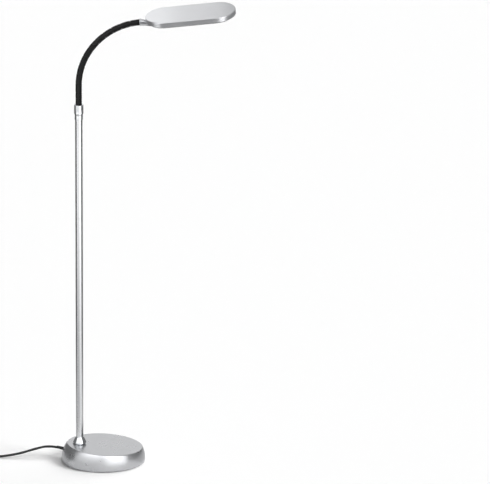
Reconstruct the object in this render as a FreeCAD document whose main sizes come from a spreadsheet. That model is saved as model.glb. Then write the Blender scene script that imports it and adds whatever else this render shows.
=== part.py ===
import FreeCAD, Part
import math
import os
import re
import Sketcher

# Gooseneck floor lamp. Origin at the middle of the base underside, on the floor.
# +Z up, +X along the base towards the head, millimetres.

doc = FreeCAD.newDocument("gooseneck_floor_lamp")
sheet = doc.addObject("Spreadsheet::Sheet", "Sizes")
V = FreeCAD.Vector

SIZES = {
    # base
    "base_half_length": 125.7,
    "base_half_width": 98.4,
    "base_lower_edge": 2.5,
    "base_lower_inset": 0.6,
    "base_band_top": 5.9,
    "base_dome_height": 54.1,
    "base_dome_inset": 20.4,
    "base_dome_fullness": 0.92,
    "base_top_height": 51.9,
    "base_top_slope": 3.7,
    "base_top_round": 4.5,
    "base_wall": 3.0,
    "foot_height": 5.5,
    "foot_radius": 10.0,
    "foot_edge": 28.0,
    "plate_thickness": 2.0,
    "plate_margin": 1.7,
    "weight_height": 24.5,
    "weight_margin": 5.0,
    "weight_boss_radius": 22.0,
    "lead_slot_width": 12.0,
    "plate_screw_radius": 2.0,
    "plate_screw_head": 4.0,
    "plate_screw_head_height": 2.2,
    "plate_screw_length": 14.5,
    "plate_screw_x": 80.0,
    "plate_screw_y": 38.0,
    # pole
    "pole_inset": 54.7,
    "pole_offset": "=base_half_length - pole_inset",
    "pole_radius": 11.0,
    "pole_wall": 1.2,
    "pole_seat": 62.6,
    "pole_seam_low": 421.0,
    "pole_seam_high": 785.0,
    "pole_top": 1118.0,
    "pole_lead_start": 45.0,
    "tube_play": 0.05,
    "coupler_length": 60.0,
    "coupler_wall": 1.6,
    "bell_foot_radius": 15.8,
    "bell_radius": 20.0,
    "bell_rim_radius": 12.2,
    "bell_widest_height": 5.4,
    "bell_shoulder": 1.8,
    "bell_height": 21.6,
    "stud_radius": 5.0,
    "stud_bore": 2.8,
    "stud_bottom": 33.0,
    "plug_height": 24.0,
    "nut_radius": 9.6,
    "nut_height": 6.5,
    "washer_radius": 14.0,
    "washer_thickness": 2.0,
    "nut_pocket_radius": 16.0,
    "nut_pocket_top": 42.0,
    "collar_radius": 14.0,
    "collar_neck_radius": 12.15,
    "collar_bottom": 1100.0,
    "collar_taper_bottom": 1114.0,
    "collar_body_bottom": 1121.0,
    "collar_top": 1148.0,
    "collar_bore": 6.5,
    "hose_seat_depth": 6.0,
    # gooseneck
    "hose_crest": 9.5,
    "hose_valley": 8.6,
    "hose_bore": 6.0,
    "rib_pitch": 2.05,
    "rib_rise": 0.22,
    "rib_crest": 0.68,
    "rib_fall": 0.9,
    "hose_fit": 0.35,
    "neck_straight": 59.8,
    "neck_radius": 201.6,
    "neck_turn": 84.1,
    "neck_first_pivot": 38.0,
    "neck_pitch": 29.0,
    "neck_end_recess": 1.07,
    "ball_radius": 7.2,
    "ball_bore": 5.0,
    "ball_half_height": 3.8,
    "socket_radius": 7.5,
    "lead_radius": 1.25,
    "lead_play": 0.8,
    # swivel between hose and head
    "hose_end": 1.5,
    "ferrule_tail_radius": 5.7,
    "ferrule_tail": 8.0,
    "ferrule_flange_radius": 9.0,
    "ferrule_flange": 1.5,
    "pin_radius": 5.5,
    "pin_bore": 2.6,
    "pin_end": 15.0,
    "pin_fit": 0.05,
    "pin_groove_radius": 4.6,
    "pin_groove_half": 1.7,
    "swivel_gap": 0.3,
    "set_screw_place": 9.0,
    "set_screw_radius": 1.4,
    "set_screw_recess": 0.5,
    "set_screw_socket": 1.0,
    # knuckle casting
    "knuckle_mouth": 10.5,
    "knuckle_mouth_length": 4.0,
    "knuckle_mouth_taper": 0.1,
    "knuckle_waist": 14.0,
    "knuckle_waist_radius": 9.3,
    "knuckle_waist_drop": 2.5,
    "knuckle_throat": 22.0,
    "knuckle_throat_radius": 8.7,
    "knuckle_throat_drop": 5.0,
    "knuckle_barrel_radius": 8.3,
    "knuckle_drop": 6.5,
    "knuckle_barrel_start": 30.0,
    "knuckle_barrel_end": 46.0,
    "knuckle_flat_start": 26.0,
    "knuckle_clearance": 0.2,
    # head shells, in the head's own frame
    "head_roll": 3.2,
    "head_start": 18.0,
    "head_length": 269.0,
    "head_half_width": 60.0,
    "head_bottom": 5.5,
    "head_bevel_height": 6.8,
    "head_bevel_inset": 9.8,
    "head_seam": 5.6,
    "head_seam_gap": 0.8,
    "head_seam_depth": 0.9,
    "head_top": 15.5,
    "head_wall": 2.0,
    "lead_notch_width": 8.0,
    "lead_notch_bottom": 3.5,
    "head_top_round": 2.7,
    # light
    "window_start": 70.9,
    "window_side_margin": 12.0,
    "window_far_margin": 16.9,
    "window_half_width": "=head_half_width - window_side_margin",
    "window_centre": "=head_start + head_length - window_far_margin - window_half_width",
    "window_corner": 10.0,
    "lens_gap": 0.2,
    "lens_flange": 1.2,
    "lens_flange_thickness": 1.5,
    "reflector_wall": 1.4,
    "led_board_bottom": 8.0,
    "board_thickness": 1.6,
    "chip_size": 5.0,
    "chip_height": 0.8,
    "chip_pitch": 19.0,
    "chip_margin": 24.0,
    "board_screw_side": 8.0,
    "board_screw_near": 16.0,
    "boss_radius": 3.4,
    "boss_root": 0.5,
    "screw_radius": 1.4,
    "screw_head_radius": 2.6,
    "screw_head_height": 1.6,
    "board_screw_length": 4.5,
    # switch
    "button_x": 52.9,
    "button_y": 27.4,
    "button_radius": 10.0,
    "button_gap": 0.3,
    "button_stand": 0.8,
    "button_flange_radius": 11.5,
    "button_flange": 1.0,
    "button_rest_gap": 0.1,
    "button_travel": 1.0,
    "button_ring_depth": 0.35,
    "plunger_radius": 2.0,
    "plunger_top": 4.0,
    "switch_size": 12.0,
    "switch_bottom": 2.0,
    "control_board_bottom": 6.2,
    "control_board_start": 40.0,
    "control_board_length": 27.0,
    "control_board_side": 8.0,
    "control_board_width": 46.0,
    "control_screw_near": 3.2,
    "control_screw_low": 3.8,
    "control_screw_high": 3.5,
    "driver_height": 4.5,
    "driver_length": 18.0,
    "driver_width": 26.0,
    "driver_near": 8.0,
    "driver_side": 6.0,
    "connector_length": 7.0,
    "connector_half_width": 5.0,
    "connector_bottom": 2.0,
    # bracket
    "bracket_thickness": 1.8,
    "bracket_gap": 0.3,
    "bracket_half_width": 21.0,
    "bracket_step": 42.0,
    "bracket_end": 52.0,
    "bracket_tongue": 13.0,
    "knuckle_screw_y": 5.2,
    "knuckle_screw_x": 44.0,
    "knuckle_screw_length": 8.0,
    "head_screw_x": 35.0,
    "head_screw_y": 16.0,
    "head_screw_radius": 1.5,
    "head_screw_head": 3.1,
    "head_screw_head_height": 1.0,
    "head_screw_length": 16.5,
    # cord
    "cord_radius": 3.6,
    "gland_inset": 6.7,
    "gland_x": "=base_half_length - gland_inset",
    "gland_y": 23.0,
    "gland_height": 28.5,
    "gland_turn": 24.0,
    "gland_tilt": 4.0,
    "gland_inner_radius": 6.5,
    "gland_inner": 2.0,
    "gland_depth": 3.6,
    "gland_length": 22.0,
    "gland_flare": 6.0,
    "gland_flare_half": 1.5,
    "gland_neck_radius": 5.0,
    "gland_tip_radius": 4.3,
    "gland_run": 50.0,
    "coil_x": -368.0,
    "coil_y": -32.5,
    "coil_outer": 49.5,
    "coil_pitch": 8.0,
    "coil_layer": 7.9,
    "coil_turns": 6.0,
    "tie_thickness": 0.8,
    "tie_width": 12.0,
    "tie_gap": 0.3,
    "tie_side_gap": 1.5,
    "tie_floor_gap": 0.4,
    "plug_body_length": 34.0,
    "plug_body_radius": 9.0,
    "plug_tail_wall": 1.2,
    "plug_taper": 1.0,
    "plug_grip_start": 20.4,
    "plug_grip_stand": 2.0,
    "blade_length": 17.0,
    "blade_width": 6.4,
    "blade_thickness": 1.5,
    "blade_half_spacing": 6.35,
}

for row, (alias, value) in enumerate(SIZES.items(), 1):
    sheet.set(f"A{row}", alias)
    sheet.set(f"B{row}", str(value))
    sheet.setAlias(f"B{row}", alias)
doc.recompute()

NODES = []


def formula(text):
    """Point each size named in the text at its cell."""
    def cell(match):
        word = match.group()
        return "Sizes." + word if word in SIZES else word
    return re.sub(r"[a-z_][a-z_0-9]*", cell, str(text))


def number(text):
    """Work a formula out from the cells."""
    return float(sheet.evalExpression(formula(text)))


def bind(thing, **sizes):
    for prop, text in sizes.items():
        thing.setExpression(prop, formula(text))


def place(thing, at, turn=None):
    """Bind an object's place to formulas for x, y and z."""
    if turn is not None:
        thing.Placement = FreeCAD.Placement(V(0, 0, 0), turn)
    for axis, text in zip("xyz", at or ()):
        thing.setExpression(f"Placement.Base.{axis}", formula(text))
    return thing


ALONG_X = FreeCAD.Rotation(V(0, 1, 0), 90)


def node(thing, label, placement=None):
    """Name an object as a piece of the lamp."""
    thing.Label = label
    if placement is not None:
        thing.Placement = placement
    NODES.append(thing)
    return thing


def rod(radius, length, at=None, turn=None):
    tube = doc.addObject("Part::Cylinder", "rod")
    bind(tube, Radius=radius, Height=length)
    return place(tube, at, turn)


def block(length, width, height, at=None, turn=None):
    box = doc.addObject("Part::Box", "block")
    bind(box, Length=length, Width=width, Height=height)
    return place(box, at, turn)


def joined(parts):
    if len(parts) == 1:
        return parts[0]
    union = doc.addObject("Part::MultiFuse", "joined")
    union.Shapes = parts
    union.Refine = True
    return union


def cut(base, tools):
    """Take each tool away in turn."""
    for tool in tools:
        result = doc.addObject("Part::Cut", "cut")
        result.Base = base
        result.Tool = tool
        base = result
    return base


def turned(label, corners):
    """A body of revolution about its own Z axis, from corners (radius, height)."""
    body = doc.addObject("PartDesign::Body", label)
    plane = next(item for item in body.Origin.OriginFeatures if item.Role == "XZ_Plane")
    sketch = body.newObject("Sketcher::SketchObject", label + "_profile")
    sketch.AttachmentSupport = [(plane, "")]
    sketch.MapMode = "FlatFace"
    points = [V(number(radius), number(height), 0) for radius, height in corners]
    count = len(points)
    for index in range(count):
        line = Part.LineSegment(points[index], points[(index + 1) % count])
        sketch.addGeometry(line, False)
    for index in range(count):
        sketch.addConstraint(Sketcher.Constraint("Coincident", index, 2, (index + 1) % count, 1))
    for index, (radius, height) in enumerate(corners):
        for text, kind, axis, value in (
            (radius, "DistanceX", -2, points[index].x),
            (height, "DistanceY", -1, points[index].y),
        ):
            if text == "0":
                sketch.addConstraint(Sketcher.Constraint("PointOnObject", index, 1, axis))
                continue
            held = sketch.addConstraint(Sketcher.Constraint(kind, -1, 1, index, 1, value))
            sketch.setExpression(f"Constraints[{held}]", formula(text))
    turn = body.newObject("PartDesign::Revolution", label + "_turn")
    turn.Profile = sketch
    turn.ReferenceAxis = (sketch, ["V_Axis"])
    turn.Angle = 360
    sketch.Visibility = False
    return body


def sleeve(label, inner, outer, bottom, top):
    """A turned tube."""
    return turned(label, [(inner, bottom), (outer, bottom), (outer, top), (inner, top)])


def on_pole(thing):
    return place(thing, ("-pole_offset", "0", "0"))


def oval(half_length, half_width, height):
    """An oval line across the base's middle."""
    line = doc.addObject("Part::Ellipse", "oval")
    bind(line, MajorRadius=half_length, MinorRadius=half_width)
    return place(line, ("0", "0", height))


def oval_slab(inset, bottom, height):
    """An oval plate inside the base's outline."""
    slab = doc.addObject("Part::Extrusion", "oval_slab")
    slab.Base = oval(f"base_half_length - ({inset})", f"base_half_width - ({inset})", bottom)
    slab.DirMode = "Custom"
    slab.Dir = V(0, 0, 1)
    slab.Solid = True
    bind(slab, LengthFwd=height)
    return slab


def dome(wall):
    """The base's outer shape, drawn in by a wall."""
    sections = [oval(
        f"base_half_length - base_lower_inset - {wall}",
        f"base_half_width - base_lower_inset - {wall}",
        "base_lower_edge" if wall == "0" else "base_lower_edge - 1",
    )]
    for share in (0, 0.3, 0.6, 0.8, 1.04):
        swell = f"(1 - sqrt(1 - (base_dome_fullness * {share})^2))"
        inset = f"base_dome_inset * {swell} / (1 - sqrt(1 - base_dome_fullness^2)) + {wall}"
        sections.append(oval(
            f"base_half_length - ({inset})",
            f"base_half_width - ({inset})",
            f"base_band_top + base_dome_height * {share}",
        ))
    loft = doc.addObject("Part::Loft", "dome")
    loft.Sections = sections
    loft.Solid = True
    return loft


def above_top(drop):
    """Everything above the base's sloped top, lowered by a drop."""
    reach = "2 * base_half_length"
    turn = FreeCAD.Rotation(V(0, 1, 0), number("base_top_slope"))
    slab = block(f"2 * {reach}", f"2 * {reach}", "base_half_length", None, turn)
    slope = f"{reach} * cos(base_top_slope)"
    climb = f"{reach} * sin(base_top_slope)"
    return place(slab, (f"-{slope}", f"-{reach}", f"base_top_height - {drop} + {climb}"), turn)


def edges_at(shape, wanted):
    """Numbers of the edges whose whole run passes a test on its points."""
    found = []
    for index, edge in enumerate(shape.Edges, 1):
        if all(wanted(point) for point in edge.discretize(7)):
            found.append(index)
    return found


def rounded(thing, radius, wanted):
    doc.recompute()
    fillet = doc.addObject("Part::Fillet", "rounded")
    fillet.Base = thing
    size = number(radius)
    fillet.Edges = [(index, size, size) for index in edges_at(thing.Shape, wanted)]
    return fillet


def slope_height(x):
    """Height of the base's sloped top at x."""
    return number("base_top_height") - x * math.tan(math.radians(number("base_top_slope")))


# Cord gland direction: outwards, turned to the back and tilted up.
turn_back = math.radians(number("gland_turn"))
tilt_up = math.radians(number("gland_tilt"))
GLAND_OUT = V(
    -math.cos(tilt_up) * math.cos(turn_back),
    math.cos(tilt_up) * math.sin(turn_back),
    math.sin(tilt_up),
)
GLAND_AT = V(-number("gland_x"), number("gland_y"), number("gland_height"))
GLAND_TURN = FreeCAD.Rotation(V(0, 0, 1), GLAND_OUT)
GLAND_START = GLAND_AT - GLAND_OUT * number("gland_depth + gland_inner")


def base():
    """Shell, weight, plate, feet and screws."""
    outer = cut(dome("0"), [above_top("0")])
    top = number("base_top_height") * 0.75
    near = lambda point: point.z > top and abs(point.z - slope_height(point.x)) < 0.05
    outer = rounded(outer, "base_top_round", near)
    inner = cut(dome("base_wall"), [above_top("base_wall")])
    stud_hole = rod("stud_radius + swivel_gap", "base_half_length",
                    ("-pole_offset", "0", "foot_height"))
    gland_hole = rod("gland_neck_radius", "4 * gland_depth")
    gland_hole.Placement = FreeCAD.Placement(
        GLAND_AT - GLAND_OUT * 2 * number("gland_depth"), GLAND_TURN)
    shell = node(cut(outer, [inner, stud_hole, gland_hole]), "base_shell")

    plate_top = "foot_height + plate_thickness"
    spots = [
        (f"{side} * plate_screw_x", f"{back} * plate_screw_y")
        for side in (1, -1)
        for back in (1, -1)
    ]
    plate = oval_slab("base_wall + plate_margin", "foot_height", "plate_thickness")
    holes = [rod("plate_screw_radius", "plate_thickness", (x, y, "foot_height")) for x, y in spots]
    node(cut(plate, holes), "base_plate")

    weight_top = f"{plate_top} + weight_height"
    slab = oval_slab("base_wall + plate_margin + weight_margin", plate_top, "weight_height")
    boss = rod("weight_boss_radius", "base_top_height", ("-pole_offset", "0", weight_top))
    boss = cut(boss, [above_top("base_wall")])
    pocket = rod("nut_pocket_radius", f"nut_pocket_top - ({plate_top})",
                 ("-pole_offset", "0", plate_top))
    bore = rod("stud_radius + swivel_gap", "base_top_height", ("-pole_offset", "0", plate_top))
    slot_turn = FreeCAD.Rotation(V(0, 0, 1), 180 - math.degrees(math.atan2(
        number("gland_y"), number("gland_x - pole_offset"))))
    slot = block("3 * weight_boss_radius", "lead_slot_width", "weight_height + 2")
    slot.Placement = FreeCAD.Placement(V(-number("pole_offset"), 0, number(plate_top) - 1), slot_turn) \
        * FreeCAD.Placement(V(0, -number("lead_slot_width") / 2, 0), FreeCAD.Rotation())
    screw_depth = "plate_screw_length - plate_thickness"
    threads = [rod("plate_screw_radius", screw_depth, (x, y, plate_top)) for x, y in spots]
    node(cut(joined([slab, boss]), [pocket, bore, slot] + threads), "base_weight")

    feet = [rod("foot_radius", "foot_height", ("0", "0", "0"))]
    for step in range(6):
        angle = 60 * step
        feet.append(rod("foot_radius", "foot_height", (
            f"(base_half_length - foot_edge) * cos({angle})",
            f"(base_half_width - foot_edge) * sin({angle})",
            "0",
        )))
    node(joined(feet), "base_feet")

    screws = []
    for x, y in spots:
        head = rod("plate_screw_head", "plate_screw_head_height",
                   (x, y, "foot_height - plate_screw_head_height"))
        shank = rod("plate_screw_radius", "plate_screw_length", (x, y, "foot_height"))
        screws += [head, shank]
    node(joined(screws), "base_screws")
    return shell


def clamp():
    """Bell, stud, nut, washer and plug that hold the pole to the base."""
    face = "base_top_height + pole_offset * tan(base_top_slope)"
    corners = [("pole_radius + tube_play", "pole_seat"), ("stud_radius + swivel_gap", "pole_seat")]
    corners += [("stud_radius + swivel_gap", f"{face} - 3"), ("bell_foot_radius", f"{face} - 3")]
    corners += [("bell_foot_radius", face)]
    for step in range(1, 5):
        angle = 22.5 * step
        corners.append((
            f"bell_foot_radius + (bell_radius - bell_foot_radius) * sin({angle})",
            f"{face} + bell_widest_height * (1 - cos({angle}))",
        ))
    corners.append(("bell_radius - bell_shoulder / 3", f"{face} + bell_widest_height + bell_shoulder"))
    corners.append(("bell_rim_radius", f"{face} + bell_height"))
    corners.append(("pole_radius + tube_play", f"{face} + bell_height"))
    bell = on_pole(turned("bell_blank", corners))
    below = block("4 * bell_radius", "4 * bell_radius", "base_top_height",
                  ("-pole_offset - 2 * bell_radius", "-2 * bell_radius", "pole_seat - base_top_height"))
    below = cut(below, [above_top("0")])
    node(cut(bell, [below]), "pole_bell")

    stud_top = "pole_seat + plug_height"
    node(on_pole(sleeve("base_stud", "stud_bore", "stud_radius", "stud_bottom", stud_top)), "base_stud")
    plug_radius = "pole_radius - pole_wall - tube_play"
    node(on_pole(sleeve("pole_foot_plug", "stud_radius", plug_radius, "pole_seat", stud_top)),
         "pole_foot_plug")
    washer_bottom = "nut_pocket_top - washer_thickness"
    node(on_pole(sleeve("stud_washer", "stud_radius + tube_play", "washer_radius", washer_bottom,
                        "nut_pocket_top")), "stud_washer")
    hexagon = doc.addObject("Part::Prism", "hexagon")
    hexagon.Polygon = 6
    bind(hexagon, Circumradius="nut_radius", Height="nut_height")
    place(hexagon, ("-pole_offset", "0", f"{washer_bottom} - nut_height"))
    thread = rod("stud_radius", "nut_height", ("-pole_offset", "0", f"{washer_bottom} - nut_height"))
    node(cut(hexagon, [thread]), "stud_nut")


def pole():
    """Three tube sections, two couplers and the collar."""
    inner = "pole_radius - pole_wall"
    seams = ["pole_seat", "pole_seam_low", "pole_seam_high", "pole_top"]
    for name, bottom, top in zip(("pole_lower", "pole_middle", "pole_upper"), seams, seams[1:]):
        node(on_pole(sleeve(name, inner, "pole_radius", bottom, top)), name)
    for name, seam in (("lower_coupler", seams[1]), ("upper_coupler", seams[2])):
        outer = f"{inner} - tube_play"
        node(on_pole(sleeve(name, f"{outer} - coupler_wall", outer,
                            f"{seam} - coupler_length / 2", f"{seam} + coupler_length / 2")), name)
    bore = "pole_radius + tube_play"
    seat = "collar_top - hose_seat_depth"
    node(on_pole(turned("pole_collar", [
        (bore, "collar_bottom"),
        ("collar_neck_radius", "collar_bottom"),
        ("collar_neck_radius", "collar_taper_bottom"),
        ("collar_radius", "collar_body_bottom"),
        ("collar_radius", "collar_top"),
        ("hose_crest + hose_fit", "collar_top"),
        ("hose_crest + hose_fit", seat),
        ("collar_bore", seat),
        ("collar_bore", "pole_top"),
        (bore, "pole_top"),
    ])), "pole_collar")


# Gooseneck centreline: straight up from the collar, then one arc towards the head.
STRAIGHT = number("neck_straight")
BEND = number("neck_radius")
NECK_LENGTH = STRAIGHT + math.radians(number("neck_turn")) * BEND


def neck_frame(along):
    """Frame on the centreline: Z along the hose, Y to the back."""
    turn = max(0, (along - STRAIGHT) / BEND)
    rise = min(along, STRAIGHT) + BEND * math.sin(turn)
    run = BEND * (1 - math.cos(turn))
    if turn and along > NECK_LENGTH:
        turn = math.radians(number("neck_turn"))
        extra = along - NECK_LENGTH
        run = BEND * (1 - math.cos(turn)) + extra * math.sin(turn)
        rise = STRAIGHT + BEND * math.sin(turn) + extra * math.cos(turn)
    spot = V(run - number("pole_offset"), 0, number("collar_top") + rise)
    return FreeCAD.Placement(spot, FreeCAD.Rotation(V(0, 1, 0), math.degrees(turn)))


def ring(radius, frame):
    """A circle across a frame, its X axis steady."""
    edge = Part.makeCircle(radius)
    edge.Placement = frame
    return Part.Wire([edge])


def hose(start, end, ribs, home):
    """Ribbed tube between two places on the centreline, in the frame called home."""
    crest = number("hose_crest")
    valley = number("hose_valley")
    back = home.inverse()
    pitch = (end - start) / ribs
    shares = [0] + [number(name) for name in ("rib_rise", "rib_crest", "rib_fall")]
    rings = []
    for rib in range(ribs):
        for share, radius in zip(shares, (valley, crest, crest, valley)):
            rings.append(ring(radius, back * neck_frame(start + pitch * (rib + share))))
    rings.append(ring(valley, back * neck_frame(end)))
    skin = Part.makeLoft(rings, True, True)
    overrun = 1
    steps = 8
    run = end - start + 2 * overrun
    bore_rings = [
        ring(number("hose_bore"), back * neck_frame(start - overrun + run * step / steps))
        for step in range(steps + 1)
    ]
    return skin.cut(Part.makeLoft(bore_rings, True, True))


def ball():
    """Hollow ball end about the frame's origin."""
    half = number("ball_half_height")
    size = number("ball_radius")
    band = Part.makeCylinder(size + 1, 2 * half, V(0, 0, -half))
    band = band.cut(Part.makeCylinder(number("ball_bore"), 2 * half, V(0, 0, -half)))
    return Part.makeSphere(size).common(band)


def gooseneck():
    """The fixed length and the moving lengths of the hose."""
    first = number("neck_first_pivot")
    pitch = number("neck_pitch")
    recess = number("neck_end_recess")
    pivots = []
    spot = first
    while spot < NECK_LENGTH - pitch / 2:
        pivots.append(spot)
        spot += pitch
    starts = [-number("hose_seat_depth")] + pivots
    for index, start in enumerate(starts):
        home = neck_frame(max(start, 0) if index == 0 else start)
        last = index == len(starts) - 1
        end = NECK_LENGTH + number("hose_end") if last else starts[index + 1] - recess
        begin = start if index == 0 else start + recess
        ribs = round((end - begin) / number("rib_pitch"))
        shape = hose(begin, end, ribs, home)
        if not last:
            tip = ball()
            tip.Placement = home.inverse() * neck_frame(starts[index + 1])
            shape = shape.fuse(tip)
        if index:
            shape = shape.cut(Part.makeSphere(number("socket_radius")))
        name = "neck_hose" if index == 0 else f"neck_link_{index:02d}"
        link = doc.addObject("Part::Feature", name)
        link.Shape = shape
        node(link, name, home)
    print("hose lengths", len(starts), "pivots", [round(pivot, 2) for pivot in pivots])

    lead = doc.addObject("Part::Feature", "neck_lead")
    home = neck_frame(0)
    back = home.inverse()
    low = -number("hose_seat_depth")
    top = NECK_LENGTH + number("hose_end")
    corners = [V(0, 0, low), V(0, 0, STRAIGHT)]
    middle = (back * neck_frame((STRAIGHT + NECK_LENGTH) / 2)).Base
    finish = (back * neck_frame(NECK_LENGTH)).Base
    tip = (back * neck_frame(top)).Base
    spine = Part.Wire([
        Part.makeLine(corners[0], corners[1]),
        Part.Arc(corners[1], middle, finish).toShape(),
        Part.makeLine(finish, tip),
    ])
    lead.Shape = tube(spine, number("lead_radius"))
    node(lead, "neck_lead", home)


def tube(spine, radius):
    """A round section swept along a wire."""
    start = spine.OrderedVertexes[0].Point
    first = spine.OrderedEdges[0]
    ahead = first.tangentAt(first.FirstParameter)
    if (first.valueAt(first.FirstParameter) - start).Length > 1e-6:
        ahead = first.tangentAt(first.LastParameter) * -1
    profile = Part.Wire([Part.makeCircle(radius, start, ahead)])
    return spine.makePipeShell([profile], True, False)


def route(points, report=""):
    """Straight runs joined by tangent arcs."""
    edges = []
    at = points[0]
    radii = []
    for before, corner, after in zip(points, points[1:], points[2:]):
        back = before - corner
        ahead = after - corner
        share = 0.45 * min(back.Length, ahead.Length)
        back.normalize()
        ahead.normalize()
        turn = math.pi - back.getAngle(ahead)
        radius = share / math.tan(turn / 2)
        radii.append(round(radius, 1))
        middle = back + ahead
        middle.normalize()
        reach = math.hypot(radius, share) - radius
        start = corner + back * share
        end = corner + ahead * share
        edges.append(Part.makeLine(at, start))
        edges.append(Part.Arc(start, corner + middle * reach, end).toShape())
        at = end
    edges.append(Part.makeLine(at, points[-1]))
    wire = Part.Wire(edges)
    if report:
        print(report, "radii", radii, "length", round(wire.Length, 1))
    return wire


# The head's own frame: X along the head, Z up out of its top, origin at the end of the gooseneck.
# The head is turned a little on its swivel, towards its near side.
HEAD_TURN = FreeCAD.Rotation(V(0, 1, 0), -90) * FreeCAD.Rotation(V(1, 0, 0), number("head_roll"))
HEAD = neck_frame(NECK_LENGTH) * FreeCAD.Placement(V(0, 0, 0), HEAD_TURN)


def head_spot(x, y, z, turn=None):
    """A placement in the head's frame."""
    local = FreeCAD.Placement(V(number(x), number(y), number(z)), turn or FreeCAD.Rotation())
    return HEAD * local


def hoops(rings):
    """A smooth loft through circles (x, z, radius) across the X axis."""
    circles = []
    for x, z, radius in rings:
        circle = doc.addObject("Part::Circle", "hoop")
        bind(circle, Radius=radius)
        circles.append(place(circle, (x, "0", z), ALONG_X))
    loft = doc.addObject("Part::Loft", "hoop_loft")
    loft.Sections = circles
    loft.Solid = True
    return loft


def knuckle_form(grow):
    """The knuckle's outside, grown all round."""
    rings = [
        ("0", "0", f"knuckle_mouth + {grow}"),
        ("knuckle_mouth_length", "0", f"knuckle_mouth - knuckle_mouth_taper + {grow}"),
        ("knuckle_waist", "-knuckle_waist_drop", f"knuckle_waist_radius + {grow}"),
        ("knuckle_throat", "-knuckle_throat_drop", f"knuckle_throat_radius + {grow}"),
        ("knuckle_barrel_start", "-knuckle_drop", f"knuckle_barrel_radius + {grow}"),
        ("knuckle_barrel_end", "-knuckle_drop", f"knuckle_barrel_radius + {grow}"),
    ]
    dome_end = doc.addObject("Part::Sphere", "dome_end")
    bind(dome_end, Radius=f"knuckle_barrel_radius + {grow}")
    place(dome_end, ("knuckle_barrel_end", "0", "-knuckle_drop"))
    return joined([hoops(rings), dome_end])


def swivel():
    """Ferrule in the hose end and the knuckle that turns on its pin."""
    tail = "ferrule_tail + hose_end"
    flange_end = f"{tail} + ferrule_flange"
    pin_end = "ferrule_tail + pin_end"
    groove = "ferrule_tail + set_screw_place"
    ferrule = turned("neck_ferrule", [
        ("pin_bore", "0"),
        ("ferrule_tail_radius", "0"),
        ("ferrule_tail_radius", tail),
        ("ferrule_flange_radius", tail),
        ("ferrule_flange_radius", flange_end),
        ("pin_radius", flange_end),
        ("pin_radius", f"{groove} - pin_groove_half"),
        ("pin_groove_radius", f"{groove} - pin_groove_half"),
        ("pin_groove_radius", f"{groove} + pin_groove_half"),
        ("pin_radius", f"{groove} + pin_groove_half"),
        ("pin_radius", pin_end),
        ("pin_bore", pin_end),
    ])
    node(ferrule, "neck_ferrule", head_spot("-ferrule_tail", "0", "0", ALONG_X))

    mouth_depth = "hose_end + ferrule_flange + swivel_gap"
    flat = "head_bottom - head_wall"
    tip = "pin_groove_radius + swivel_gap"
    tools = [
        rod("hose_crest + hose_fit", mouth_depth, ("0", "0", "0"), ALONG_X),
        rod("pin_radius + pin_fit", "pin_end + swivel_gap", ("0", "0", "0"), ALONG_X),
        rod("lead_radius + lead_play", "knuckle_barrel_start", ("0", "0", "0"), ALONG_X),
        block("2 * knuckle_barrel_start", "4 * knuckle_barrel_radius", "3 * knuckle_barrel_radius",
              ("knuckle_flat_start", "-2 * knuckle_barrel_radius", f"-({flat})")),
        rod("set_screw_radius", "2 * knuckle_mouth", ("set_screw_place", "0", "-2 * knuckle_mouth")),
    ]
    for side in (1, -1):
        spot = ("knuckle_screw_x", f"{side} * knuckle_screw_y", f"-({flat}) - knuckle_screw_length")
        tools.append(rod("screw_radius", "knuckle_screw_length", spot))
    node(cut(knuckle_form("0"), tools), "head_knuckle", HEAD)
    spot = ("set_screw_place", "0", "set_screw_recess - knuckle_mouth")
    set_screw = rod("set_screw_radius", f"knuckle_mouth - set_screw_recess - ({tip})", spot)
    socket = rod("set_screw_radius / 2", "set_screw_socket", spot)
    node(cut(set_screw, [socket]), "knuckle_set_screw", HEAD)


BEVEL_ANGLE = "atan(head_bevel_height / head_bevel_inset)"
INNER_FLOOR_INSET = f"head_bevel_inset + head_wall * tan({BEVEL_ANGLE} / 2)"


def bracket():
    """Plate that joins the knuckle to the head, and its screws."""
    floor = "-head_bottom + head_wall"
    start = "knuckle_flat_start + bracket_gap"
    plate = joined([
        block(f"bracket_step - ({start})", "2 * bracket_half_width", "bracket_thickness",
              (start, "-bracket_half_width", floor)),
        block(f"bracket_end - ({start})", "2 * bracket_tongue", "bracket_thickness",
              (start, "-bracket_tongue", floor)),
    ])
    room = bevel(f"{INNER_FLOOR_INSET} + bracket_gap", "head_wall + bracket_gap", floor, "head_bevel_height")
    trimmed = doc.addObject("Part::Common", "trimmed")
    trimmed.Base = plate
    trimmed.Tool = room
    plate = trimmed
    holes = []
    knuckle_screws = []
    head_screws = []
    bracket_top = f"{floor} + bracket_thickness"
    for side in (1, -1):
        spot = ("knuckle_screw_x", f"{side} * knuckle_screw_y")
        holes.append(rod("screw_radius", "bracket_thickness", (*spot, floor)))
        shank = "knuckle_screw_length + bracket_thickness"
        knuckle_screws.append(rod("screw_radius", shank, (*spot, f"{bracket_top} - ({shank})")))
        knuckle_screws.append(rod("screw_head_radius", "screw_head_height", (*spot, bracket_top)))
        spot = ("head_screw_x", f"{side} * head_screw_y")
        holes.append(rod("head_screw_radius", "bracket_thickness", (*spot, floor)))
        head = rod("head_screw_head", "head_screw_head_height", (*spot, "-head_bottom"))
        socket = rod("head_screw_head / 3", "head_screw_head_height / 2", (*spot, "-head_bottom"))
        shank = rod("head_screw_radius", "head_screw_length", (*spot, "-head_bottom"))
        head_screws.append(cut(joined([head, shank]), [socket]))
    node(cut(plate, holes), "head_bracket", HEAD)
    node(joined(knuckle_screws), "knuckle_screws", HEAD)
    node(joined(head_screws), "head_screws", HEAD)


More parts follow.
